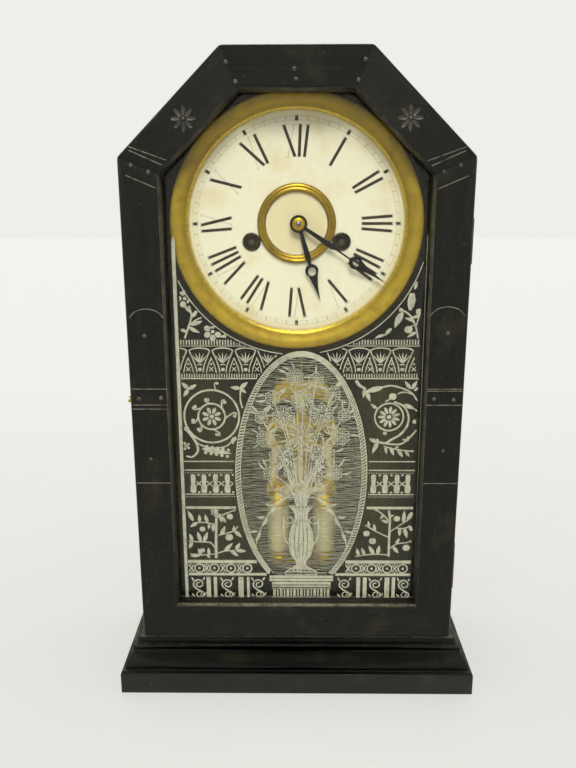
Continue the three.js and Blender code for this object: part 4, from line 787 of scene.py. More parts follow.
# Where the door's front is cut, as seen from the front, in millimetres from the floor's middle
GROOVES = [
    [(-116.8, 425.6), (-90.3, 416.3)], [(-116.3, 423), (-93.3, 413)],
    [(-119.3, 406.4), (-98.5, 397.6)],
    [(116.8, 424.6), (90.3, 415.3)], [(116.3, 422), (93.3, 412)], [(119.3, 405.4), (98.5, 396.6)],
    [(-123.4, 252.4), (-96, 252.4)], [(-123.4, 240), (-96, 240)], [(-123.4, 236.8), (-96, 236.8)],
    [(123.4, 252.4), (96, 252.4)], [(123.4, 250.9), (96, 250.9)], [(123.4, 240), (96, 240)],
    [(-123.4, 177.3), (-96, 177.3)], [(123.4, 177.3), (96, 177.3)],
]
STUDS = [
    (-1.6, 474.8), (-0.5, 468.4), (-47.7, 479.2), (-41.3, 466.9), (46, 480.5), (41.6, 467.7),
    (-115.1, 413.1), (-103.2, 408.4), (113.3, 412.4), (101.9, 407.8), (-111.7, 292.7),
    (110.5, 294.8), (-118.1, 244.7), (-101.6, 245.5), (102.6, 244.8), (117.2, 244.1),
    (-111.4, 196.9), (111.4, 203.8),
]
ROSETTES = [(-77.5, 443.5), (77.5, 443.5)]
ROSETTE_PETALS = 8
ARCHES = [(-109.6, 306), (109.6, 307.5)]
ARCH_HALF_WIDTH = 12.6
ARCH_RISE = 6.6


def door_cutters(sizes):
    """The V lines, arches and petals that are cut from the door's front."""
    pen = Pen()
    for start, end in GROOVES:
        pen.stroke([start, end], sizes.groove)
    for x, z in ARCHES:
        pen.smooth([
            (x - ARCH_HALF_WIDTH, z), (x - 0.62 * ARCH_HALF_WIDTH, z + 0.72 * ARCH_RISE),
            (x, z + ARCH_RISE), (x + 0.62 * ARCH_HALF_WIDTH, z + 0.72 * ARCH_RISE),
            (x + ARCH_HALF_WIDTH, z)], sizes.groove, 4)
    lines = pen.mesh("door_lines", DOOR_FACE - 0.05 * MM)
    for face in lines.faces:
        face.material_index = 2
    petals = bmesh.new()
    for x, z in ROSETTES:
        for i in range(ROSETTE_PETALS):
            turn = TURN * i / ROSETTE_PETALS
            reach = 0.75 * sizes.stud + 0.4 + sizes.petal / 2
            place = Matrix.Translation((
                (x + reach * math.cos(turn)) * MM, DOOR_FACE - 0.1 * MM,
                (z + reach * math.sin(turn)) * MM))
            shape = Matrix.Diagonal((sizes.petal / 2 * MM, 0.55 * MM, 0.2 * sizes.petal * MM, 1))
            bmesh.ops.create_uvsphere(
                petals, u_segments=12, v_segments=8, radius=1,
                matrix=place @ Matrix.Rotation(-turn, 4, "Y") @ shape)
    for face in petals.faces:
        face.material_index = 3
    return join_bmeshes(lines, petals)


def door_studs(sizes):
    """The small domed studs that stand on the door's front."""
    domes = []
    for x, z in STUDS + ROSETTES:
        share = 0.75 if (x, z) in ROSETTES else 1
        radius, rise = share * sizes.stud, share * sizes.stud_rise
        section = [(0, SUNK), (radius, SUNK), *quarter((0, 0), radius, -rise)]
        domes.append(turned(section, Vector((x * MM, DOOR_FACE, z * MM)), (0, 1, 0), 20))
    return join_bmeshes(*domes)


def close_mitres(bm, along):
    """Marks the edges to ease, and brings the mitred ends nearly together."""
    ends = [f for f in bm.faces if 0.5 < abs(f.normal.dot(along)) < 0.99]
    layers = bm.edges.layers.float
    weight = layers.get("bevel_weight_edge") or layers.new("bevel_weight_edge")
    end_set = set(ends)
    for edge in bm.edges:
        faces = edge.link_faces
        if len(faces) != 2 or end_set.intersection(faces):
            continue
        if faces[0].normal.angle(faces[1].normal) > math.radians(30):
            edge[weight] = 1
    moved = {}
    for face in ends:
        step = along * (JOINT_CLOSING * MM * math.copysign(1, face.normal.dot(along)))
        for vert in face.verts:
            moved[vert] = step
    for vert, step in moved.items():
        vert.co += step


def weigh_normals(holder):
    """Gives large flat faces the say over how the eased edges beside them are shaded."""
    weighted = holder.modifiers.new("normals", "WEIGHTED_NORMAL")
    weighted.mode = "FACE_AREA"
    weighted.weight = 100
    weighted.keep_sharp = True


def finish_member(node, direction, wood, sizes, cutter=None):
    """One wooden member: its own shape with eased arrises, and its cut lines if it has any."""
    bm = merged_copy(node)
    bm.normal_update()
    for face in bm.faces:
        # front chamfers: on a rail those that also face up take the dusty finish, dust and a
        # painted highlight; the rest are rubbed
        if cutter and -0.9 < face.normal.y < -0.5:
            face.material_index = 2 if face.normal.z > 0.3 and direction == "across" else 3
        # faces of the base that look up: dust, and a painted highlight where the light catches
        # them
        elif wood is BASE_WOOD and face.normal.z > LEDGE:
            face.material_index = 2
    close_mitres(bm, ALONG[direction])
    mesh = mesh_from(bm, node)
    mesh.shade_smooth()

    def build(holder):
        bevel = holder.modifiers.new("arris", "BEVEL")
        bevel.width = sizes.arris * MM * (BASE_WEAR if wood is BASE_WOOD else 1)
        bevel.segments = 3
        bevel.limit_method = "WEIGHT"
        bevel.material = 1
        if cutter:
            cut_by(holder, cutter)
        weigh_normals(holder)

    # dust, and on faces that look up also a painted highlight
    dust = "ledge" if wood is BASE_WOOD else "groove"
    done = evaluated(mesh, [wood[direction], "worn", dust, "rubbed"], build)
    return settle_node(done, node, None)


class CLOCK_OT_door_frame(bpy.types.Operator):
    """Finish the door's six members, with the lines, studs and rosettes cut in their front"""

    bl_idname = "clock.door_frame"
    bl_label = "Door frame"

    def execute(self, context):
        sizes = context.scene.clock_sizes
        mesh = mesh_from(door_cutters(sizes), "door_cutter")
        give(mesh, ("worn", "worn", "groove", "rubbed"))
        cutter = put("door_cutter", mesh)
        for node, direction in DOOR_MEMBERS.items():
            finish_member(node, direction, WOOD, sizes, cutter)
        bpy.data.objects.remove(cutter)
        settle(door_studs(sizes), "door_studs", "door", ["worn"])
        return {"FINISHED"}


class CLOCK_OT_case(bpy.types.Operator):
    """Finish the case's boards, the base and the bare wood inside and behind"""

    bl_idname = "clock.case"
    bl_label = "Case and base"

    def execute(self, context):
        sizes = context.scene.clock_sizes
        for node, direction in CASE_MEMBERS.items():
            wood = BASE_WOOD if node.startswith("base") else WOOD
            finish_member(node, direction, wood, sizes)
        for node in ("base_back_rail", "dial_cleat_left", "dial_cleat_right"):
            eased_copy(node, "pine", sizes.arris)
        self.back_board(sizes)
        return {"FINISHED"}

    def back_board(self, sizes):
        """The back board, its inside face darkened almost black by age, smoke and painted shade,
        with a sunk hole for each of its screws.
        """
        node = "case_back_board"
        low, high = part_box(node)
        edge = BACK_SCREW_IN * MM
        seats = [(side * (high.x - edge), z * MM) for side in (-1, 1) for z in BACK_SCREWS]
        seats += [(0, low.z + edge), (0, high.z - edge)]
        sunk = high.y - (sizes.screw_rise + SUNK) * MM
        mesh = mesh_from(merged_copy(node), node)
        depth, radius = 2 * (sizes.screw_rise + SUNK), BORE_SHARE * sizes.screw
        bore = [(0, 0), (radius, 0), (radius, depth), (0, depth)]
        holes = [turned(bore, Vector((x, sunk, z)), (0, 1, 0), 28) for x, z in seats]
        done = without(mesh, ["pine", "soot"], join_bmeshes(*holes))
        # faces that look into the case take the darkened finish, painted shade as well as age
        for face in done.polygons:
            face.material_index = int(face.normal.y < -0.5)
        settle_node(done, node, 0)
        spots = [(Vector((x, sunk, z)), (0, 1, 0), 500 * x + 900 * z) for x, z in seats]
        screws("back_board_screws", spots, "case", "steel", sizes)


# Dial

BEZEL_SECTION = [
    (79.7, 0), (79.7, -0.9), (80.1, -1.9), (81.2, -2.1), (81.7, -2.6), (82.1, -3.8), (82.8, -5.6),
    (83.8, -7.1), (85.1, -8.2), (86.6, -8.9), (88.2, -9.2), (90.4, -9.2), (91.5, -9.1),
    (92.1, -8.8),
    (92.5, -8.3), (92.6, -7.7), (92.6, 0.7), (81.9, 0.7), (81.9, 0),
]
POLISHED_LIP = (79.9, 81.8)  # the slope inside the bezel that mirrors the minute ring
PAN_THICKNESS = 0.8
EAR_HOLE = 6  # from an ear's end to its screw
EAR_UP = 25  # from the hands' height to an ear's
RING_SECTION = [
    (22.8, 0), (22.85, -0.8), (23.2, -1.6), (24.1, -2.2), (25, -2.25), (25.7, -1.8), (26, -1.7),
    (26.3, -1.8), (27, -2.3), (28, -2.2), (28.8, -1.6), (29.15, -0.8), (29.2, 0),
]
EYELET_SECTION = [
    (5.1, 0.9), (5.0, -0.5), (5.3, -0.9), (6.0, -1.1), (6.6, -0.8), (6.9, -0.2), (6.9, 0),
    (6.2, 0), (6.1, 0.9),
]
COLLET_SECTION = [
    (1.8, 0), (4.9, 0), (4.9, -0.7), (4.7, -1.2), (4.2, -1.7), (3.4, -2), (1.8, -2.1),
]
NUMERALS = ["XII", "I", "II", "III", "IIII", "V", "VI", "VII", "VIII", "IX", "X", "XI"]
NUMERAL_OUT = 70.9
NUMERAL_IN = 48.3
THICK, HAIR = 2.2, 0.2
# Each letter's advance and its strokes, (foot across, head across, width)
LETTERS = {
    "I": (4.7, [(0, 0, THICK)]),
    "V": (9.2, [(0.5, -3, THICK), (0.5, 3.6, HAIR)]),
    "X": (9.2, [(3.2, -3.2, THICK), (-3.2, 3.2, HAIR)]),
}
MINUTE_OUTER = 76.6
MINUTE_INNER = 73.8
PRINT_SQUASH = 0.985  # the printing's height over its width
PIN_SECTION = [(1.5, 0), (2.4, 0), (2.35, -0.4), (2.1, -0.8), (1.7, -1.05), (1.5, -1.1)]


def on_dial(across, out, angle):
    """A point at a place across a numeral and a distance out from the hands, clockwise from 12."""
    turn = math.radians(angle) + across / ((NUMERAL_OUT + NUMERAL_IN) / 2)
    centre_x, centre_z = DIAL.x / MM, DIAL.z / MM
    return (centre_x + out * math.sin(turn), centre_z + out * PRINT_SQUASH * math.cos(turn))


def draw_numeral(pen, text, angle):
    """One numeral's letters, each with fine serifs at its feet and heads."""
    total = sum(LETTERS[letter][0] for letter in text)
    left = -total / 2
    for letter in text:
        advance, strokes = LETTERS[letter]
        middle = left + advance / 2
        for foot, head, width in strokes:
            pen.stroke([
                on_dial(middle + foot, NUMERAL_IN, angle),
                on_dial(middle + head, NUMERAL_OUT, angle)], width)
            for across, out in ((foot, NUMERAL_IN), (head, NUMERAL_OUT)):
                pen.stroke([
                    on_dial(middle + across - 1.6, out, angle),
                    on_dial(middle + across + 1.6, out, angle)], HAIR)
        left += advance


def draw_minutes(pen):
    """The minute ring's two lines and its marks, with a block at each hour."""
    for radius in (MINUTE_OUTER, MINUTE_INNER):
        pen.arc((DIAL.x / MM, DIAL.z / MM), radius, 0, 360, 0.16, 120, PRINT_SQUASH)
    for minute in range(60):
        hour = minute % 5 == 0
        ends = (MINUTE_INNER - 0.6, MINUTE_OUTER + 0.4) if hour else (MINUTE_INNER, MINUTE_OUTER)
        pen.stroke([on_dial(0, out, 6 * minute) for out in ends], 2.3 if hour else 0.26)


def at_dial(depth_m):
    """The dial's centre at a depth."""
    return Vector((DIAL.x, depth_m, DIAL.z))


class CLOCK_OT_dial(bpy.types.Operator):
    """Make the pan, bezel, paper, printing, centre ring, eyelets and hands"""

    bl_idname = "clock.dial"
    bl_label = "Dial and hands"

    def execute(self, context):
        sizes = context.scene.clock_sizes
        lip = PAPER_FACE - 0.3 * MM
        bezel = turned(BEZEL_SECTION, at_dial(lip), (0, 1, 0), 144)
        for face in bezel.faces:
            middle = face.calc_center_median()
            out = math.hypot(middle.x - DIAL.x, middle.z - DIAL.z)
            face.material_index = int(POLISHED_LIP[0] * MM < out < POLISHED_LIP[1] * MM)
        settle(bezel, "bezel_spun", "case", ["bezel", "bright"], ["bezel"])
        settle(
            turned(RING_SECTION, at_dial(lip), (0, 1, 0), 96), "centre_ring_spun", "case",
            ["spun"], ["dial_centre_ring"])
        eased_copy("dial_pan", "dull", 0.1, 50)
        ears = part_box("dial_pan")[1]
        screws("dial_pan_screws", [
            (Vector((
                across * (ears.x - EAR_HOLE * MM), ears.y - PAN_THICKNESS * MM,
                DIAL.z + up * EAR_UP * MM)), (0, -1, 0), 40 + 50 * across + 20 * up)
            for across in (-1, 1) for up in (-1, 1)], "case", "steel", sizes)
        dress("dial_paper", "paper")
        pen = Pen()
        for hour, text in enumerate(NUMERALS):
            draw_numeral(pen, text, 30 * hour)
        draw_minutes(pen)
        film = sizes.film * MM
        settle(
            pen.mesh("dial_printing", PAPER_FACE - film / 2, film), "dial_printing", "case",
            ["ink"], smooth=0)
        for side, arbor in ((-1, "strike_winding_arbor"), (1, "time_winding_arbor")):
            low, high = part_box(arbor)
            centre = Vector(((low.x + high.x) / 2, PAPER_FACE, (low.z + high.z) / 2))
            name = "left" if side < 0 else "right"
            settle(
                turned(EYELET_SECTION, centre, (0, 1, 0), 48), f"winding_eyelet_{name}", "case",
                ["blackened"])
        for hand in ("hour_hand", "minute_hand"):
            eased_copy(hand, "blued", 0.12, 40)
        low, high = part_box("hand_collet")
        hub = Vector(((low.x + high.x) / 2, high.y, (low.z + high.z) / 2))
        settle(
            turned(COLLET_SECTION, hub, (0, 1, 0), 48), "collet_turned", "minute_arbor",
            ["brass"], ["hand_collet"])
        settle(
            turned(PIN_SECTION, hub + Vector((0, COLLET_SECTION[-1][1] * MM, 0)), (0, 1, 0), 32),
            "pin_washer", "minute_arbor", ["pin"])
        return {"FINISHED"}


# Print on the glass, in millimetres

PRINT_LEFT = -88.2
PRINT_RIGHT = 92.8
MIRROR_LINE = 3.05
OVAL = (3.75, 178.5)
OVAL_HALF = (52.2, 100.4)
DIAL_WINDOW = (0.0, 372.4, 96.5)
CHECKER = (283.4, 287.3)
ARCADE = (261.1, 282.0)
PALMETTES = (-90.8, -73.4, -56.0, -38.6, -21.5, 30.4, 47.2, 63.4, 80.1)
UPPER_STRIP = (257.9, 261.0)
BALUSTERS = (163.6, 179.4)
BALUSTERS_AT = (-81.7, -73.1, -63.9, -54.6)
GUILLOCHE = 97.7
GUILLOCHE_AT = (-79.2, -66.8, -53.4, -40.1, 48.6, 61.2, 73.8, 86.4)
FLUTES = (69, 89.8)
# The left and right edge of each flute
FLUTES_AT = (
    (-73.7, -70.2), (-67.8, -65.1), (-47.6, -43.3), (-40.6, -38.3),
    (49.0, 52.2), (54.3, 57.5), (72.0, 76.0), (77.9, 80.7))
VOLUTES_AT = (-80.1, -56.5, -31, 39.5, 64.7, 88)
VOLUTES_UP = 80.3


def oval_share(x, z, grown):
    """Under 1 inside the oval and over 1 outside it, once its half sizes have grown."""
    across = (x - OVAL[0]) / (OVAL_HALF[0] + grown)
    up = (z - OVAL[1]) / (OVAL_HALF[1] + grown)
    return across * across + up * up


def outside_oval(x, z):
    """Whether a point is in the border's part of the print."""
    return oval_share(x, z, 0.9) > 1


def in_picture(x, z):
    """Whether a point is inside the oval's edge and over the plinth."""
    return oval_share(x, z, -3.2) < 1 and not on_plinth(x, z)


def in_border(x, z):
    """Whether a point of the bands shows: in the print, and clear of oval, dial and plinth."""
    clear_of_dial = math.hypot(x - DIAL_WINDOW[0], z - DIAL_WINDOW[1]) > DIAL_WINDOW[2] + 1
    return (
        PRINT_LEFT <= x <= PRINT_RIGHT and outside_oval(x, z) and clear_of_dial
        and not on_plinth(x, z))


def rule(pen, z, width):
    """A line right across the print."""
    pen.straight((PRINT_LEFT, z), (PRINT_RIGHT, z), width)


def spaced(pitch):
    """Places across the print, a pitch apart."""
    count = int((PRINT_RIGHT - PRINT_LEFT) / pitch)
    return [PRINT_LEFT + pitch * (i + 0.5) for i in range(count)]


def bars(pen, low, high, pitch, width):
    """A strip of short upright bars."""
    for x in spaced(pitch):
        pen.straight((x, low), (x, high), width)


def beads(pen, z, pitch, radius):
    """A row of dots."""
    for x in spaced(pitch):
        pen.dot((x, z), radius)


def draw_spray(pen, stems, leaves, berries=(), stout=0.42):
    """Stems as (points, width), leaves as (base x, z, tip x, z), berries as (x, z, radius)."""
    for points, width in stems:
        pen.smooth(points, width, 5)
    for x0, z0, x1, z1 in leaves:
        pen.leaf_to((x0, z0), (x1, z1), stout)
    for x, z, radius in berries:
        pen.dot((x, z), radius)


def draw_arcade(pen):
    """Fans of leaves under arches."""
    low, high = ARCADE
    for x in PALMETTES:
        for side in (-1, 1):
            pen.smooth([
                (x + side * 2.3, low + 1), (x + side * 3.2, low + 6), (x + side * 5, low + 11),
                (x + side * 7.6, high - 3.5)], 0.9, 4)
            pen.smooth([
                (x + side * 5, low + 0.8), (x + side * 6, low + 5.5), (x + side * 8, low + 10.5),
                (x + side * 8.8, low + 12.5)], 0.8, 4)
            for lean in (22, 42):
                pen.leaf((x, low + 8), 8.5, 1.1, 90 - side * lean)
        pen.leaf((x, low + 8), 8.8, 1.2, 90)
        pen.smooth([
            (x - 8, high - 3.2), (x - 5, high - 1.6), (x, high - 1), (x + 5, high - 1.6),
            (x + 8, high - 3.2)], 1, 4)
        pen.stroke([(x - 2, low + 7), (x, low + 7), (x + 2, low + 7)], 0.8)
        pen.dot((x, low + 3.2), 1.4)
        middle = x + 8.6
        for lean in (-1.6, 1.6):
            pen.stroke([
                (middle - 1.6, low + 3.5 - lean), (middle + 1.6, low + 3.5 + lean)], 0.7)
        pen.dot((middle, low + 7.4), 0.8)


LEFT_SCROLL = (-65.5, 227)
LEFT_CURLS = ((15.3, 107), (17, 53), (19.4, 6), (16.5, 153), (16.4, 197), (16.2, 230), (16.7, 289))
LEFT_STEMS = [
    ([(-85.3, 217.1), (-83.7, 214.4), (-79, 207.3), (-76.9, 200.7), (-78.5, 196.3), (-82.2, 193.8),
      (-86.4, 194.7)], [2.4, 2.2, 2, 1.8, 1.6, 1.4, 1.2]),
    ([(-79, 206.2), (-71.1, 202.3), (-62.7, 201.2), (-54.7, 202.9), (-51, 206.2)], 1.1),
    ([(-41.6, 233.6), (-43.1, 240.2), (-42.9, 247.8)], 1.2),
    ([(-62.1, 248.9), (-62.7, 252.8), (-60.8, 254.4)], 0.9),
]
LEFT_LEAVES = [
    (-51, 206.2, -45.7, 211.1), (-51, 206.2, -46.3, 204.5), (-82.7, 248.9, -87.8, 254.2),
    (-82.7, 248.9, -76.4, 252.4), (-82.7, 248.9, -86.7, 242.9), (-43.1, 249.5, -50.5, 250.3),
    (-43.1, 249.5, -37.3, 254.4), (-43.1, 249.5, -38.4, 245.7),
]
LEFT_BERRIES = [(-60.6, 253.4, 1.1), (-85.3, 217.1, 2)]
RIGHT_STEMS = [
    ([(74.7, 238.8), (82.3, 235.3), (86.2, 227.5), (85.3, 219.5), (80.3, 212.5), (73.8, 208.5),
      (69.2, 205.5), (64.4, 206.5), (62.4, 209.0)], [1.4, 1.4, 1.5, 1.6, 1.7, 1.8, 1.8, 1.7, 1.6]),
    ([(69.2, 205.0), (79.7, 204.5), (85.3, 207.5), (90.7, 213.6), (93.4, 217.1)], 1.3),
    ([(67.8, 203.0), (76.9, 200.5), (91.3, 198.5)], 1),
    ([(65.4, 250.4), (72.4, 251.7), (80.9, 249.5), (87.6, 246.1), (91.5, 241.2),
      (95.1, 234.4)], 1.3),
    ([(88.5, 245.1), (81.9, 246.6), (77.3, 245.1)], 1.1),
    ([(73.6, 243.1), (70.5, 240.4), (68.1, 239.2)], 1),
    ([(90.4, 233.4), (96.3, 228.5)], 1),
    ([(45.2, 255.7), (48.1, 251.9), (52.9, 249.0)], [2.4, 2.2, 1.6]),
]
RIGHT_LEAVES = [
    (87.0, 249.0, 82.5, 255.3), (87.9, 249.0, 91.8, 255.7), (89.8, 247.5, 93.2, 250.9),
    (82.8, 236.8, 90.6, 233.2), (51.9, 249.0, 51.1, 242.2), (53.4, 247.0, 56.4, 239.2),
    (56.7, 209.0, 64.9, 205.5), (63.4, 207.0, 59.1, 196.9), (69.2, 202.5, 70.2, 196.4),
    (73.1, 202.0, 76.0, 195.4), (78.9, 200.5, 82.9, 193.9), (84.6, 199.5, 88.2, 194.2),
    (87.5, 199.0, 91.8, 199.0), (76.5, 201.0, 79.7, 203.0), (85.3, 207.5, 87.0, 211.6),
    (61.7, 233.4, 56.9, 237.3), (87.2, 207.5, 81.9, 208.5),
]
RIGHT_BERRIES = [(68.4, 213.5, 1.5), (91.3, 223.0, 1.8), (73.6, 243.1, 2.8)]


def draw_scrolls(pen):
    """A wheel of hooked curls on the left and a spiral of leaves on the right."""
    at = LEFT_SCROLL
    pen.arc(at, 21.2, 0, 360, 1.5, 40)
    pen.arc(at, 10.4, 0, 360, 1.4, 26)
    pen.rosette(at, 7.6, 8, 2.7, 0.22)
    for reach, angle in LEFT_CURLS:
        pen.smooth([
            polar(at, 10.4, angle - 14), polar(at, reach - 2.2, angle + 4),
            polar(at, reach, angle - 1)], 1.2, 4)
        pen.dot(polar(at, reach - 1.6, angle - 5), 1.4)
    pen.rosette((-86.4, 202.9), 3.6, 5, 2, 0.25)
    pen.leaf((-73.7, 200.7), 23.6, 4.4, -10)
    for i in range(5):
        x = -70 + 4.2 * i
        pen.dot((x, 202.6 - 0.75 * i), 1.3)
        pen.dot((x - 1, 197.4 - 0.75 * i), 1.3)
    draw_spray(pen, LEFT_STEMS, LEFT_LEAVES, LEFT_BERRIES, 0.46)
    at = (71.3, 226.7)
    pen.arc(at, 11, 0, 360, 1.3, 26)
    pen.rosette(at, 8.4, 11, 2.3, 0.2)
    draw_spray(pen, RIGHT_STEMS, RIGHT_LEAVES, RIGHT_BERRIES, 0.4)
    pen.leaf((65.9, 250.4), 14.9, 4.5, 195)


# Shares of a baluster's height, and its width there
BALUSTER = (
    (0, 2.2), (0.05, 4.4), (0.28, 4.8), (0.42, 3.8), (0.5, 2.6), (0.58, 3.4), (0.75, 3.9),
    (0.94, 3.7), (1, 2))


def draw_balusters(pen):
    """Turned balusters with a crossed link beside each."""
    low, high = BALUSTERS
    middle = (low + high) / 2
    for side in (-1, 1):
        for place in BALUSTERS_AT:
            x = place if side < 0 else 2 * MIRROR_LINE - place
            pen.stroke(
                [(x, low + share * (high - low)) for share, _ in BALUSTER],
                [wide for _, wide in BALUSTER])
            link = x - side * 4.5
            for lean in (-1.9, 1.9):
                pen.stroke([
                    (link - 2.2, middle - lean), (link, middle), (link + 2.2, middle + lean)], 0.9)
            pen.dot((link, low + 0.6), 0.9)
            pen.dot((link, high - 0.6), 0.9)


FOLIAGE_LEFT = (
    [([(-64.0, 149.7), (-64.4, 135), (-65, 120), (-65.2, 106.6)], [1.8, 2, 2.2, 2.4]),
     ([(-63.3, 142.3), (-56.4, 146.0), (-48.4, 149.1)], 1),
     ([(-63.1, 126.8), (-56.8, 128.7), (-51.0, 130.6), (-46.9, 134.9)], 1),
     ([(-63.5, 111.1), (-58.3, 113.0), (-50.2, 113.6)], 1),
     ([(-65.7, 136.7), (-72.5, 138.0), (-79.4, 137.9), (-84.6, 134.8)], 1),
     ([(-66.3, 116.1), (-69.6, 120.5), (-77.6, 121.1), (-88.6, 121.7)], 1),
     ([(-66.4, 110.4), (-78.0, 109.5), (-86.1, 110.4)], 1)],
    [(-63.3, 142.1, -60.4, 146.0), (-61.0, 143.3, -59.8, 138.0), (-59.6, 143.3, -56.6, 138.0),
     (-60.8, 127.4, -57.2, 134.9), (-50.8, 130.7, -50.0, 135.5), (-49.9, 130.9, -44.0, 125.2),
     (-58.3, 113.0, -51.5, 120.2), (-53.4, 113.6, -47.1, 108.3), (-49.1, 113.7, -40.8, 112.9),
     (-49.3, 114.2, -45.5, 120.2), (-82.8, 139.5, -86.8, 148.2), (-77.7, 138.3, -77.8, 145.0),
     (-71.4, 138.1, -73.2, 145.0), (-69.7, 137.6, -70.7, 132.1), (-79.4, 138.1, -85.5, 134.1),
     (-84.0, 121.6, -86.1, 128.3), (-84.0, 121.3, -87.1, 115.0), (-77.1, 121.1, -79.7, 129.9),
     (-74.8, 121.1, -71.6, 129.9), (-77.4, 109.5, -79.6, 115.4), (-70.8, 110.0, -71.4, 116.1),
     (-72.8, 109.8, -70.0, 106.6), (-78.0, 109.5, -86.1, 108.5), (-66.6, 137.1, -67.1, 129.9)],
    [(-53.3, 143.3, 2.5), (-54.2, 125.2, 3), (-75.6, 132.4, 2.2), (-76.2, 113.6, 2)])
FOLIAGE_RIGHT = (
    [([(73.6, 149.0), (74.7, 140.1), (74.6, 130.0), (74.6, 108.3)], 1.8),
     ([(74.7, 130.0), (80.4, 134.5), (89.0, 140.7)], 1),
     ([(79.4, 133.6), (86.7, 133.4), (91.2, 135.9)], 1),
     ([(74.7, 115.2), (81.0, 119.8), (89.2, 121.0), (93.5, 124.2)], 1),
     ([(74.3, 125.5), (65.1, 130.0), (55.1, 136.1)], 1),
     ([(74.2, 110.0), (61.4, 110.6), (47.7, 108.5)], 1),
     ([(74.5, 139.0), (69.3, 145.1), (64.0, 149.0)], 1)],
    [(85.5, 138.5, 86.1, 148.8), (88.5, 140.1, 93.3, 149.6), (82.9, 133.4, 82.8, 126.6),
     (86.5, 133.2, 88.9, 124.9), (90.7, 135.7, 93.0, 130.0), (77.9, 117.3, 82.5, 111.6),
     (80.1, 119.6, 82.9, 124.9), (92.7, 123.8, 95.3, 125.5), (58.2, 134.7, 57.4, 139.8),
     (63.0, 131.1, 62.0, 137.3), (50.5, 109.4, 48.6, 115.7), (55.2, 110.0, 52.4, 116.3),
     (62.7, 110.6, 58.3, 118.0), (65.6, 110.4, 67.0, 118.4), (73.3, 138.4, 67.9, 140.7),
     (69.3, 145.1, 66.8, 141.2), (65.6, 148.5, 62.0, 149.6), (74.4, 143.5, 78.0, 145.1),
     (91.8, 121.0, 95.4, 122.7)],
    [(80.2, 141.8, 2.5), (88.6, 116.4, 2.8), (56.3, 128.8, 2.5), (61.3, 122.2, 2.8)])


def draw_guilloche(pen):
    """Rings with a dot in each and a cross between them."""
    for x in GUILLOCHE_AT:
        pen.arc((x, GUILLOCHE), 3.7, 0, 360, 1.2, 20)
        pen.dot((x, GUILLOCHE), 1.1)
        middle = x - 6.4
        for lean in (-3.4, 3.4):
            pen.stroke([
                (middle - 2.3, GUILLOCHE - lean), (middle, GUILLOCHE),
                (middle + 2.3, GUILLOCHE + lean)], [0.9, 1.3, 0.9])
        pen.dot((middle, GUILLOCHE + 3.4), 0.7)
        pen.dot((middle, GUILLOCHE - 3.4), 0.7)


def draw_flutes(pen):
    """Flutes along the foot of the print, with small volutes between them."""
    low, high = FLUTES
    for left, right in FLUTES_AT:
        x = (left + right) / 2
        pen.straight((x, low), (x, high), right - left)
    z = VOLUTES_UP
    for x in VOLUTES_AT:
        pen.curl((x, z + 3), 4.6, 200, 1.4, 1.3, 0.25, -1)
        pen.curl((x + 0.6, z - 6), 3.6, 20, 1.3, 1.2, 0.3, -1)
        pen.smooth([(x - 4.4, z + 1.4), (x - 1.5, z - 1.6), (x + 3.9, z - 4.8)], 1.2, 4)
        for dx, dz, angle in ((3.4, 6.4, 60), (-4.2, 6, 115), (-3.6, -8.4, 130), (4.4, -7.6, 60)):
            pen.leaf((x + dx, z + dz), 3.8, 1.5, angle)


# The sprigs' leaves: base across and up, length, width, angle
LEFT_SPRIG = (
    (-79, 304, 9, 3, 40), (-80, 299, 10, 3.4, 5), (-80.5, 297, 9, 3, -38), (-82, 293, 7, 2.6, 150),
    (-79.5, 308, 8, 2.6, 120), (-68.5, 304.5, 6, 2.2, -20), (-81, 325, 7, 2.4, 60))
RIGHT_SPRIG = (
    (88, 301, 8, 2.6, 150), (86, 304, 8, 2.6, 10), (80, 309, 9, 2.8, 160),
    (89.8, 293, 8, 2.6, 200), (71, 296, 8, 2.8, 220), (87, 325, 8, 2.6, 70),
    (66, 291, 8, 2.4, 190))


def draw_sprigs(pen):
    """Flowering sprigs in the corners under the dial."""
    left = pen.smooth([(-84, 288.4), (-81, 297), (-78.5, 305), (-80, 313)], 1.3, 5)
    pen.rosette((-83, 318.5), 7, 5, 4.4, 0.2)
    pen.rosette((-84.8, 334), 5, 5, 3.2, 0.2)
    pen.smooth([left[6], (-74, 303), (-68.5, 304.5)], 1, 4)
    for x, z, long, wide, angle in LEFT_SPRIG:
        pen.leaf((x, z), long, wide, angle, 10)
    pen.rosette((-63, 293.5), 7, 6, 4.4, 0.2)
    pen.leaf((-57, 289.5), 9, 2.8, 10)
    right = pen.smooth([(91, 288.4), (89, 297), (85, 305), (80, 309)], 1.3, 5)
    pen.smooth([right[5], (90.6, 303), (91.4, 307)], 1, 4)
    pen.leaf((84, 309.5), 17, 6, 78, 8)
    pen.leaf((79, 308), 13, 5, 236, 8)
    pen.dot((91, 308.5), 2.4)
    pen.dot((83.6, 295), 2.9)
    pen.smooth([(88.5, 298.5), (85.5, 297.5), (83.8, 296)], 0.8, 3)
    for x, z, long, wide, angle in RIGHT_SPRIG:
        pen.leaf((x, z), long, wide, angle, 10)


def draw_borders(pen):
    """The lines down both sides, and the arc under the dial."""
    free = Pen()
    free.stroke([(-90, 67), (-90, 359), (-89.9, 362.8)], [2.5, 2.7, 1.6])
    for x, top in ((94.9, 364), (97.5, 362)):
        free.stroke([(x + 1, 67), (x, top)], 0.4)
    pen.lines.extend(free.lines)
    arc = Pen(lambda x, z: outside_oval(x, z) and PRINT_LEFT < x < PRINT_RIGHT)
    arc.arc(DIAL_WINDOW[:2], DIAL_WINDOW[2], 186, 354, 0.7, 80)
    pen.lines.extend(arc.lines)


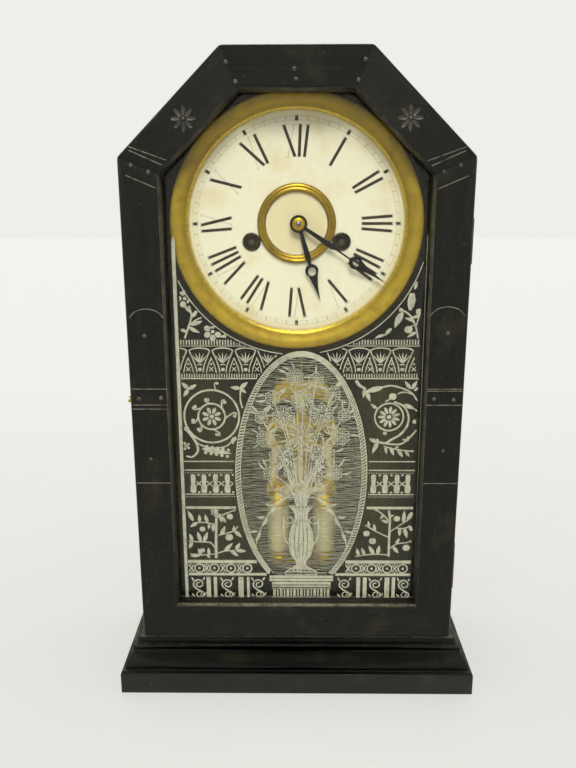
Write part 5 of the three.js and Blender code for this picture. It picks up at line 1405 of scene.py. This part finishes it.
def draw_bands(pen):
    """The level bands of ornament, from the dial down."""
    bars(pen, *CHECKER, 2.1, 0.95)
    rule(pen, CHECKER[0] - 0.9, 0.6)
    draw_arcade(pen)
    bars(pen, *UPPER_STRIP, 1.9, 0.8)
    rule(pen, UPPER_STRIP[0] - 0.7, 0.9)
    draw_scrolls(pen)
    for z in (190.2, 182.9, 162.5):
        rule(pen, z, 0.9)
    for z in (180.5, 160.4):
        beads(pen, z, 1.9, 0.45)
    draw_balusters(pen)
    rule(pen, 151.0, 2.2)
    for stems, leaves, berries in (FOLIAGE_LEFT, FOLIAGE_RIGHT):
        draw_spray(pen, stems, leaves, berries, 0.44)
    pen.rosette((-65.4, 147.2), 3.6, 6, 1.8, 0.25)
    rule(pen, 103.6, 2.8)
    draw_guilloche(pen)
    rule(pen, 92.3, 2.3)
    draw_flutes(pen)


# The oval's picture is a design of this model's own: a slender vase of flowers on a ruled ground

VASE_SECTION = [
    (12.5, 92), (12.5, 94.5), (9.4, 96.5), (4.2, 100), (3.6, 104), (6, 107), (8.6, 113),
    (9.4, 121),
    (8.8, 129), (6.2, 138), (4.6, 143), (5.2, 147), (8.4, 151.5), (9, 152.5),
]
PLINTH = (-22, 30)
PLINTH_TOP = 91.5
# Heights and widths of the plinth's lines
PLINTH_LINES = [
    (90.1, 2.4), (87.3, 2.2), (84.3, 2.6), (81.6, 1.4), (79.6, 0.7), (71.3, 1.4), (69.2, 1.2),
]
BLOOMS = [
    (0, 210, 12), (-16.5, 194, 9), (17, 196, 9.5), (-14, 226, 9), (15.5, 228, 9.5), (1, 240, 9),
    (-28, 209, 7), (30, 211, 7.5), (-6, 182, 8), (9.5, 180, 7.5), (-24, 180, 6), (26, 181, 6.5),
    (-5, 258, 6.5), (11, 256, 6), (-22, 242, 6), (24, 245, 6), (2, 166, 6.5), (-12, 165, 5),
    (14, 166, 5), (-31, 226, 5), (33, 228, 5),
]


ROPE_STRANDS = 230
GROUND_ROWS = 165
GROUND_STEPS = 40  # how many pieces a row of the ground is drawn in


def on_plinth(x, z):
    """Whether the picture's plinth covers a point."""
    return PLINTH[0] <= x <= PLINTH[1] and z < PLINTH_TOP


def scalloped(pen, centre, radius, petals):
    """A flower in outline: lobed edge, lines between the petals and a ring round its heart."""
    points = []
    for i in range(6 * petals + 1):
        turn = TURN * i / (6 * petals)
        reach = radius * (0.8 + 0.2 * abs(math.sin(petals * turn / 2)))
        points.append((centre[0] + reach * math.cos(turn), centre[1] + reach * math.sin(turn)))
    pen.stroke(points, 0.65)
    for i in range(petals):
        angle = 360 * i / petals
        pen.stroke([polar(centre, 0.34 * radius, angle), polar(centre, 0.8 * radius, angle)], 0.55)
        middle = angle + 180 / petals
        pen.leaf(polar(centre, 0.4 * radius, middle), 0.5 * radius, 0.15 * radius, middle)
    pen.arc(centre, 0.3 * radius, 0, 360, 0.6, 12)
    pen.dot(centre, 0.14 * radius)


def draw_oval(pen):
    """The rope edge, the vase on its plinth and the flowers."""
    edge = Pen(lambda x, z: not on_plinth(x, z))
    for inset, width in ((0.6, 0.7), (4.4, 0.6)):
        edge.arc(OVAL, OVAL_HALF[0] - inset, 0, 360, width, 110,
                 (OVAL_HALF[1] - inset) / (OVAL_HALF[0] - inset))
    skew = TURN * 0.9 / ROPE_STRANDS
    for i in range(ROPE_STRANDS):
        angle = TURN * i / ROPE_STRANDS
        edge.stroke([
            (OVAL[0] + (OVAL_HALF[0] - inset) * math.cos(turn),
             OVAL[1] + (OVAL_HALF[1] - inset) * math.sin(turn))
            for inset, turn in ((4.2, angle), (0.8, angle + skew))], 1.25)
    pen.lines.extend(edge.lines)

    cx = OVAL[0]
    for side in (-1, 1):
        pen.smooth([(cx + side * half, z) for half, z in VASE_SECTION], 1, 4)
        pen.curl((cx + side * 9.6, 141), 4.6, 90 - side * 60, 1.2, 1, 0.2, -side)
        pen.smooth([(cx + side * 9.2, 118), (cx + side * 13, 124), (cx + side * 14, 134),
                    (cx + side * 13.6, 140)], 1, 5)
        for out, z, lean in (
                (12, 158, 16), (20, 150, 30), (27, 140, 42), (33, 128, 52), (37, 116, 60)):
            pen.leaf((cx + side * out, z + 2), 9, 2.6, 270 + side * (64 - lean), side * 12)
            pen.leaf((cx + side * (out + 2), z + 3), 7, 2, 270 + side * (120 - lean), side * 12)
        pen.smooth([(cx + side * 6, 160), (cx + side * 16, 158), (cx + side * 27, 144),
                    (cx + side * 34, 128), (cx + side * 38, 112)], 0.8, 6)
    for index, (half, z) in enumerate(VASE_SECTION):
        if index in (0, 1, 5, 7, 9, 10, 13):
            pen.straight((cx - half, z), (cx + half, z), 0.8, 2)
    lobes = through(VASE_SECTION[2:-1], 3)
    for i in range(-2, 3):
        pen.stroke(
            [(cx + 0.38 * i * half, z) for half, z in lobes], [0.31 * half for half, _ in lobes])

    for x, z, radius in BLOOMS:
        pen.smooth([(cx + x * 0.12, 153), (cx + x * 0.45, (153 + z) / 2 + 4), (cx + x, z)], 0.7, 5)
        scalloped(pen, (cx + x, z), radius, 10 if radius > 8.5 else 8 if radius > 6 else 6)
    draw = random.Random(7)
    for x, z, radius in BLOOMS:
        for _ in range(5):
            angle = draw.uniform(0, 360)
            root = polar((cx + x, z), radius, angle)
            pen.leaf(
                root, draw.uniform(5, 9), draw.uniform(1, 1.9), angle, draw.uniform(-30, 30))


def draw_plinth(pen):
    """The plinth that stands in front of the bands."""
    left, right = PLINTH
    for z, width in PLINTH_LINES:
        inset = 2 if z < 86 else 0
        pen.stroke([(left + inset, z), (right - inset, z)], width)
    for i in range(17):
        x = left + 4 + (right - left - 8) * i / 16
        pen.stroke([(x, 72.6), (x, 78.8)], 1.3 if i % 2 else 2.1)


def draw_ground(pen):
    """Fine level lines behind the vase, heavier towards the oval's right."""
    draw = random.Random(11)
    low = OVAL[1] - OVAL_HALF[1] + 3
    pitch = 2 * (OVAL_HALF[1] - 3) / GROUND_ROWS
    for row in range(GROUND_ROWS):
        z = low + pitch * (row + 0.5)
        phase = draw.uniform(0, TURN)
        points, widths = [], []
        for i in range(GROUND_STEPS + 1):
            x = OVAL[0] - OVAL_HALF[0] + 2 * OVAL_HALF[0] * i / GROUND_STEPS
            wave = 0.45 * math.sin(phase + x / 5.5) + 0.3 * math.sin(2 * phase + x / 2.3)
            points.append((x, z + wave))
            widths.append(0.24 + 0.16 * i / GROUND_STEPS + draw.uniform(-0.1, 0.16))
        pen.stroke(points, widths)


class CLOCK_OT_tablet(bpy.types.Operator):
    """Finish the pane and draw the silvery transfer print on its inner face"""

    bl_idname = "clock.tablet"
    bl_label = "Glass and print"

    def execute(self, context):
        film = context.scene.clock_sizes.film * MM
        depth = GLASS_BACK + film / 2 + 0.01 * MM
        bands = Pen(in_border)
        for draw in (draw_bands, draw_sprigs, draw_borders):
            draw(bands)
        picture = Pen(in_picture)
        draw_oval(picture)
        plinth = Pen()
        draw_plinth(plinth)
        picture.lines.extend(plinth.lines)
        ground = Pen(in_picture)
        draw_ground(ground)
        for name, pen, back, finish in (
                ("print_bands", bands, depth, "print"), ("print_oval", picture, depth, "print"),
                ("print_ground", ground, depth + film, "thin_print")):
            settle(
                pen.mesh(name, back, film), name, "door", [finish], smooth=0)
        for node, finish in (("door_glass", "glass"), ("glazing_putty", "putty")):
            dress(node, finish)
        return {"FINISHED"}


# Pendulum

VIAL_RADIUS = 9.5
VIAL_SPREAD = 19  # from the rod to a vial's axis
CAP_HEIGHT = 18
CUP_HEIGHT = 13
ROD_RADIUS = 0.8
# Shares of the vial's radius and of the cap's or cup's height
CAP_SHARES = [
    (0, 0), (1.02, 0), (1.04, 0.02), (1.04, 0.1), (1.02, 0.13), (0.94, 0.17), (0.92, 0.2),
    (0.94, 0.25), (0.98, 0.3), (0.96, 0.36), (0.88, 0.43), (0.74, 0.5),
    (0.63, 0.56), (0.58, 0.61), (0.6, 0.67),
    (0.7, 0.7), (0.74, 0.74), (0.72, 0.79), (0.62, 0.83), (0.4, 0.87), (0, 0.9),
]
CUP_SHARES = [
    (0, 0), (0.46, 0), (0.52, 0.02), (0.66, 0.08), (0.78, 0.17), (0.89, 0.3), (0.97, 0.45),
    (1.03, 0.6), (1.05, 0.67), (1.02, 0.72), (0.99, 0.76), (1.02, 0.81), (1.05, 0.86),
    (1.05, 0.97), (1.02, 1), (0, 1),
]
NUT_SECTION = [
    (0.9, 0), (4.7, 0), (5, -0.3), (4.75, -0.6), (5, -0.9), (4.75, -1.2), (5, -1.5), (4.75, -1.8),
    (4.9, -2.1), (4.2, -2.7), (3.5, -3.2), (0.9, -3.2),
]
CREST_HALF = 28.5
CREST_HEIGHT = 94
CREST_THICKNESS = 1
CREST_EDGE = 0.15
VIAL_CORNER = 2.4  # rounding of a vial's ends
# Shares of the crest's half width and of its height
CREST_RIGHT = [
    (1, 0), (1, 0.06), (0.86, 0.12), (0.94, 0.24), (0.84, 0.36), (0.98, 0.46), (1, 0.6),
    (0.8, 0.66), (0.42, 0.62), (0.14, 0.7), (0.1, 0.82), (0.5, 0.84), (0.78, 0.8), (0.8, 0.9),
    (0.66, 0.98), (0.3, 1),
]
CREST_HOLES = [
    [(0.2, 0.08), (0.62, 0.08), (0.74, 0.22), (0.6, 0.38), (0.34, 0.4), (0.18, 0.26)],
    [(0.3, 0.48), (0.74, 0.47), (0.84, 0.54), (0.5, 0.56)],
]
CREST_LINES = [
    [(0.08, 0.04), (0.09, 0.24), (0.24, 0.44), (0.6, 0.43), (0.82, 0.36), (0.86, 0.22),
     (0.74, 0.06), (0.08, 0.04)],
    [(0.18, 0.56), (0.5, 0.6), (0.86, 0.6), (0.93, 0.5)],
    [(0.06, 0.94), (0.4, 0.93), (0.68, 0.87)],
]


def on_vial(shares, height, bottom):
    """A cap's or cup's profile in millimetres."""
    return [(radius * VIAL_RADIUS, bottom + rise * height) for radius, rise in shares]


def upright_at(x):
    """A place across the clock in the pendulum's plane, at the floor's height."""
    return Vector((x, PENDULUM.y, 0))


def box_middle(node):
    """The middle of a CAD node's box."""
    low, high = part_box(node)
    return (low + high) / 2


class CLOCK_OT_pendulum(bpy.types.Operator):
    """Make the vials, their caps and cups, the pierced crest, the rod and the rating nut"""

    bl_idname = "clock.pendulum"
    bl_label = "Pendulum"

    def execute(self, context):
        for name in ("left", "right"):
            node = f"pendulum_vial_{name}"
            low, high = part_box(node)
            middle = box_middle(node)
            radius = (high.x - low.x) / 2 / MM
            bottom, top = low.z / MM, high.z / MM
            inner, corner = radius - VIAL_CORNER, VIAL_CORNER
            section = [
                (0, bottom), *reversed(quarter((inner, bottom + corner), corner, -corner, 6)),
                *quarter((inner, top - corner), corner, corner, 6), (0, top)]
            settle(
                turned(section, upright_at(middle.x), (0, 0, 1), 64), f"vial_{name}_blown",
                "pendulum", ["vial"], [node], 50)
        self.crest()
        low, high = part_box("pendulum_cups")
        cup = on_vial(CUP_SHARES, CUP_HEIGHT, low.z / MM)
        cups = [
            turned(cup, upright_at(PENDULUM.x + side * VIAL_SPREAD * MM), (0, 0, 1), 48)
            for side in (-1, 1)]
        bridge = bmesh.new()
        bmesh.ops.create_cube(
            bridge, size=1, matrix=Matrix.Translation((PENDULUM.x, PENDULUM.y, low.z + 1.6 * MM))
            @ Matrix.Diagonal((2 * (VIAL_SPREAD - 4) * MM, 8 * MM, 3.1 * MM, 1)))
        bmesh.ops.bevel(
            bridge, geom=bridge.edges[:], offset=0.5 * MM, segments=3, profile=0.5, affect="EDGES",
            material=-1)
        settle(
            join_bmeshes(*cups, bridge), "cups_turned", "pendulum", ["gilt"],
            ["pendulum_cups"], 40)
        low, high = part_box("rating_nut")
        settle(
            turned(
                NUT_SECTION, Vector(((low.x + high.x) / 2, (low.y + high.y) / 2, high.z)),
                (0, 0, 1), 48),
            "rating_nut_turned", "rating_nut", ["bright"], ["rating_nut"])
        dress("pendulum_rod", "brass")
        return {"FINISHED"}

    def crest(self):
        """The pierced plate between the caps, with raised lines on its face, and the caps."""
        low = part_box("pendulum_crest")[0]
        curve = bpy.data.curves.new("crest", "CURVE")
        curve.dimensions = "2D"
        curve.fill_mode = "BOTH"
        curve.extrude = (CREST_THICKNESS / 2 - CREST_EDGE) * MM
        curve.bevel_depth = CREST_EDGE * MM
        curve.offset = -CREST_EDGE * MM
        bottom = low.z / MM + 0.62 * CAP_HEIGHT
        right = [(x * CREST_HALF, bottom + share * CREST_HEIGHT) for x, share in CREST_RIGHT]
        outline = through(right + [(-x, z) for x, z in reversed(right)], 6)
        rings = [outline]
        for side in (-1, 1):
            for hole in CREST_HOLES:
                points = [
                    (side * x * CREST_HALF, bottom + share * CREST_HEIGHT) for x, share in hole]
                rings.append(through(points + points[:1], 6)[:-1])
        for ring in rings:
            spline = curve.splines.new("POLY")
            spline.use_cyclic_u = True
            spline.points.add(len(ring) - 1)
            for point, (x, z) in zip(spline.points, ring):
                point.co = (x * MM, z * MM, 0, 1)
        flat = final_mesh(put("crest", curve))
        bpy.data.curves.remove(curve)
        front = PENDULUM.y - (ROD_RADIUS + 0.1 + CREST_THICKNESS) * MM
        flat.transform(
            Matrix.Translation((PENDULUM.x, front + CREST_THICKNESS / 2 * MM, 0))
            @ Matrix.Rotation(math.pi / 2, 4, "X"))
        plate = bmesh.new()
        plate.from_mesh(flat)
        bpy.data.meshes.remove(flat)
        bmesh.ops.remove_doubles(plate, verts=plate.verts, dist=NEAR)
        bmesh.ops.recalc_face_normals(plate, faces=plate.faces)
        pen = Pen()
        middle = PENDULUM.x / MM
        for side in (-1, 1):
            for line in CREST_LINES:
                pen.smooth([
                    (middle + side * x * CREST_HALF, bottom + share * CREST_HEIGHT)
                    for x, share in line], 0.9, 5)
        lines = pen.mesh("crest_lines", front)
        parts = [plate, lines]
        cap = on_vial(CAP_SHARES, CAP_HEIGHT, low.z / MM)
        for side in (-1, 1):
            place = upright_at(PENDULUM.x + side * VIAL_SPREAD * MM)
            parts.append(turned(cap, place, (0, 0, 1), 48))
            tie = bmesh.new()
            bmesh.ops.create_cube(tie, size=1, matrix=Matrix.Translation((
                place.x, (place.y + front) / 2 + 0.3 * MM, (bottom + 0.1 * CAP_HEIGHT) * MM))
                @ Matrix.Diagonal((8.5 * MM, place.y - front - 0.6 * MM, 3.6 * MM, 1)))
            parts.append(tie)
        settle(
            join_bmeshes(*parts), "crest_pierced", "pendulum", ["gilt"],
            ["pendulum_crest"], 40)


# Hinges, catch and movement

LEAF_THICKNESS = 1
LEAF_HOLE_IN = 6  # from a leaf's free edge to its screws
LEAF_HOLE_SHARES = (0.16, 0.5, 0.84)  # of a leaf's height
BRASS_NODES = [
    f"{place}_hinge_{part}" for place in ("upper", "lower")
    for part in ("case_leaf", "door_leaf", "pin")
] + ["catch_hook", "catch_pivot_screw", "catch_door_pin"]
MOVEMENT_FINISHES = {
    "bell": "bright", "strike_hammer": "steel", "escape_wheel": "brass",
    "centre_arbor": "steel", "hour_wheel": "brass", "minute_wheel": "brass",
    "movement_back_plate": "brass", "movement_front_plate": "brass",
    "strike_winding_arbor": "old_steel", "time_winding_arbor": "old_steel",
    "verge_and_crutch": "steel",
}


class CLOCK_OT_metalwork(bpy.types.Operator):
    """Finish the hinges, the catch and the movement"""

    bl_idname = "clock.metalwork"
    bl_label = "Metalwork"

    def execute(self, context):
        for node in BRASS_NODES:
            eased_copy(node, "brass" if node.startswith("catch") else "dull", 0.12, 40)
        for node, finish in MOVEMENT_FINISHES.items():
            dress(node, finish)
        sizes = context.scene.clock_sizes
        for leaf, body, edge in (("case_leaf", "case", 1), ("door_leaf", "door", 0)):
            spots = []
            for place in ("upper", "lower"):
                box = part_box(f"{place}_hinge_{leaf}")
                y = box[edge].y + (LEAF_HOLE_IN if edge == 0 else -LEAF_HOLE_IN) * MM
                for share in LEAF_HOLE_SHARES:
                    seat = Vector((
                        box[0].x + LEAF_THICKNESS * MM, y,
                        box[0].z + share * (box[1].z - box[0].z)))
                    spots.append((seat, (1, 0, 0), 1500 * share))
            screws(f"hinge_{leaf}_screws", spots, body, "steel", sizes, 0.7)
        return {"FINISHED"}


# Stage: camera, floor and lamp; places in millimetres, turns in degrees

CAMERA_PLACE = (-0.18, -581.7, 395.2)
CAMERA_DOWN = 14.554
CAMERA_LEFT = 0.662
CAMERA_ROLL = -0.137
CAMERA_LENS = 34.79
SENSOR_WIDTH = 36
KEY_STRENGTH = 2.1
KEY_HEIGHT = 44
KEY_SPREAD = 18
AMBIENT = 0.45  # the world's strength as light; where it is seen, it is 1
FLOOR_REACH = 6  # from the clock to the floor's edges, in metres
FLOOR_LIFT = 0.075  # how much whiter the floor looks than the light makes it
FLOOR_LIFT_AWAY = 0.06  # how much more, a metre behind the clock


class CLOCK_OT_stage(bpy.types.Operator):
    """Set the camera, the floor, the soft lamp and the white surroundings"""

    bl_idname = "clock.stage"
    bl_label = "Stage"

    def execute(self, context):
        scene = context.scene
        self.camera(scene)
        self.floor(scene)
        self.lamp()
        world = bpy.data.worlds.new("studio")
        world.use_nodes = True
        scene.world = world
        tree = world.node_tree
        feed(tree, tree.nodes["Background"], {
            "Color": rgba(scene.clock_colours.surroundings),
            "Strength": spread(tree, self.seen(tree), 0, 1, AMBIENT, 1)})
        scene.view_settings.view_transform = "Standard"
        return {"FINISHED"}

    def seen(self, tree):
        """Whether the camera, a mirror image or a view through the glass shows the background."""
        path = add(tree, "ShaderNodeLightPath").outputs
        shown = path["Is Camera Ray"]
        for kind in ("Is Glossy Ray", "Is Transmission Ray"):
            shown = add(
                tree, "ShaderNodeMath", {0: shown, 1: path[kind]}, operation="MAXIMUM").outputs[0]
        return shown

    def camera(self, scene):
        """The camera that was fitted to the photograph."""
        data = bpy.data.cameras.new("camera")
        data.lens = CAMERA_LENS
        data.sensor_width = SENSOR_WIDTH
        data.clip_start = 0.01
        camera = put("camera", data)
        down, left = math.radians(CAMERA_DOWN), math.radians(CAMERA_LEFT)
        ahead = Vector((
            -math.sin(left) * math.cos(down), math.cos(left) * math.cos(down), -math.sin(down)))
        turn = ahead.to_track_quat("-Z", "Y").to_matrix().to_4x4()
        roll = Matrix.Rotation(math.radians(CAMERA_ROLL), 4, "Z")
        camera.matrix_world = Matrix.Translation(Vector(CAMERA_PLACE) * MM) @ turn @ roll
        scene.camera = camera

    def floor(self, scene):
        """A pale floor, a little whiter where it is seen than the light makes it."""
        bm = bmesh.new()
        bmesh.ops.create_grid(bm, x_segments=1, y_segments=1, size=FLOOR_REACH)
        mesh = mesh_from(bm, "floor")
        material, tree, principled, place = new_material("pale painted floor")
        shade = scene.clock_colours.floor
        cloud = spread(tree, noise(tree, place, 90, 3), 0.3, 0.7)
        shown = blend(tree, cloud, rgba(shade), rgba(shade, 0.985))
        away = add(tree, "ShaderNodeSeparateXYZ", {0: place}).outputs["Y"]
        lift = spread(tree, away, 0, 1, FLOOR_LIFT, FLOOR_LIFT + FLOOR_LIFT_AWAY)
        feed(tree, principled, {
            "Base Color": shown, "Roughness": 0.6, "Specular IOR Level": 0.2,
            "Emission Color": rgba(shade),
            "Emission Strength": spread(tree, self.seen(tree), 0, 1, 0, lift)})
        give(mesh, [material])
        floor = put("floor", mesh)

    def lamp(self):
        """One wide, soft lamp in front of the clock."""
        data = bpy.data.lights.new("key", "SUN")
        data.angle = math.radians(KEY_SPREAD)
        data.energy = KEY_STRENGTH
        up = math.radians(KEY_HEIGHT)
        aim = Vector((0, math.cos(up), -math.sin(up)))
        put("key", data).matrix_world = aim.to_track_quat("-Z", "Y").to_matrix().to_4x4()


class CLOCK_OT_finishes(bpy.types.Operator):
    """Make the materials"""

    bl_idname = "clock.finishes"
    bl_label = "Materials"

    def execute(self, context):
        colours = context.scene.clock_colours
        make_finishes(colours)
        for direction, along in ALONG.items():
            WOOD[direction] = ebonised_wood(f"ebonised wood, grain {direction}", colours, along)
            BASE_WOOD[direction] = ebonised_wood(
                f"ebonised wood, still polished, grain {direction}", colours, along, 0.3,
                (0.3, 0.42))
        return {"FINISHED"}


class CLOCK_PT_panel(bpy.types.Panel):
    """Lists the steps that finish the clock"""

    bl_idname = "CLOCK_PT_panel"
    bl_label = "Shelf clock"
    bl_space_type = "VIEW_3D"
    bl_region_type = "UI"
    bl_category = "Shelf clock"

    def draw(self, context):
        for operator in OPERATORS:
            self.layout.operator(operator.bl_idname)


OPERATORS = (
    CLOCK_OT_stage, CLOCK_OT_finishes, CLOCK_OT_case, CLOCK_OT_door_frame, CLOCK_OT_dial,
    CLOCK_OT_tablet, CLOCK_OT_pendulum, CLOCK_OT_metalwork,
)
CLASSES = (ClockColours, ClockSizes, *OPERATORS, CLOCK_PT_panel)


def register():
    for cls in CLASSES:
        bpy.utils.register_class(cls)
    bpy.types.Scene.clock_colours = PointerProperty(type=ClockColours)
    bpy.types.Scene.clock_sizes = PointerProperty(type=ClockSizes)


def unregister():
    del bpy.types.Scene.clock_sizes
    del bpy.types.Scene.clock_colours
    for cls in reversed(CLASSES):
        bpy.utils.unregister_class(cls)


def main():
    register()
    for operator in OPERATORS:
        group, name = operator.bl_idname.split(".")
        getattr(getattr(bpy.ops, group), name)()
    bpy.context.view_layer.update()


if __name__ == "__main__":
    main()
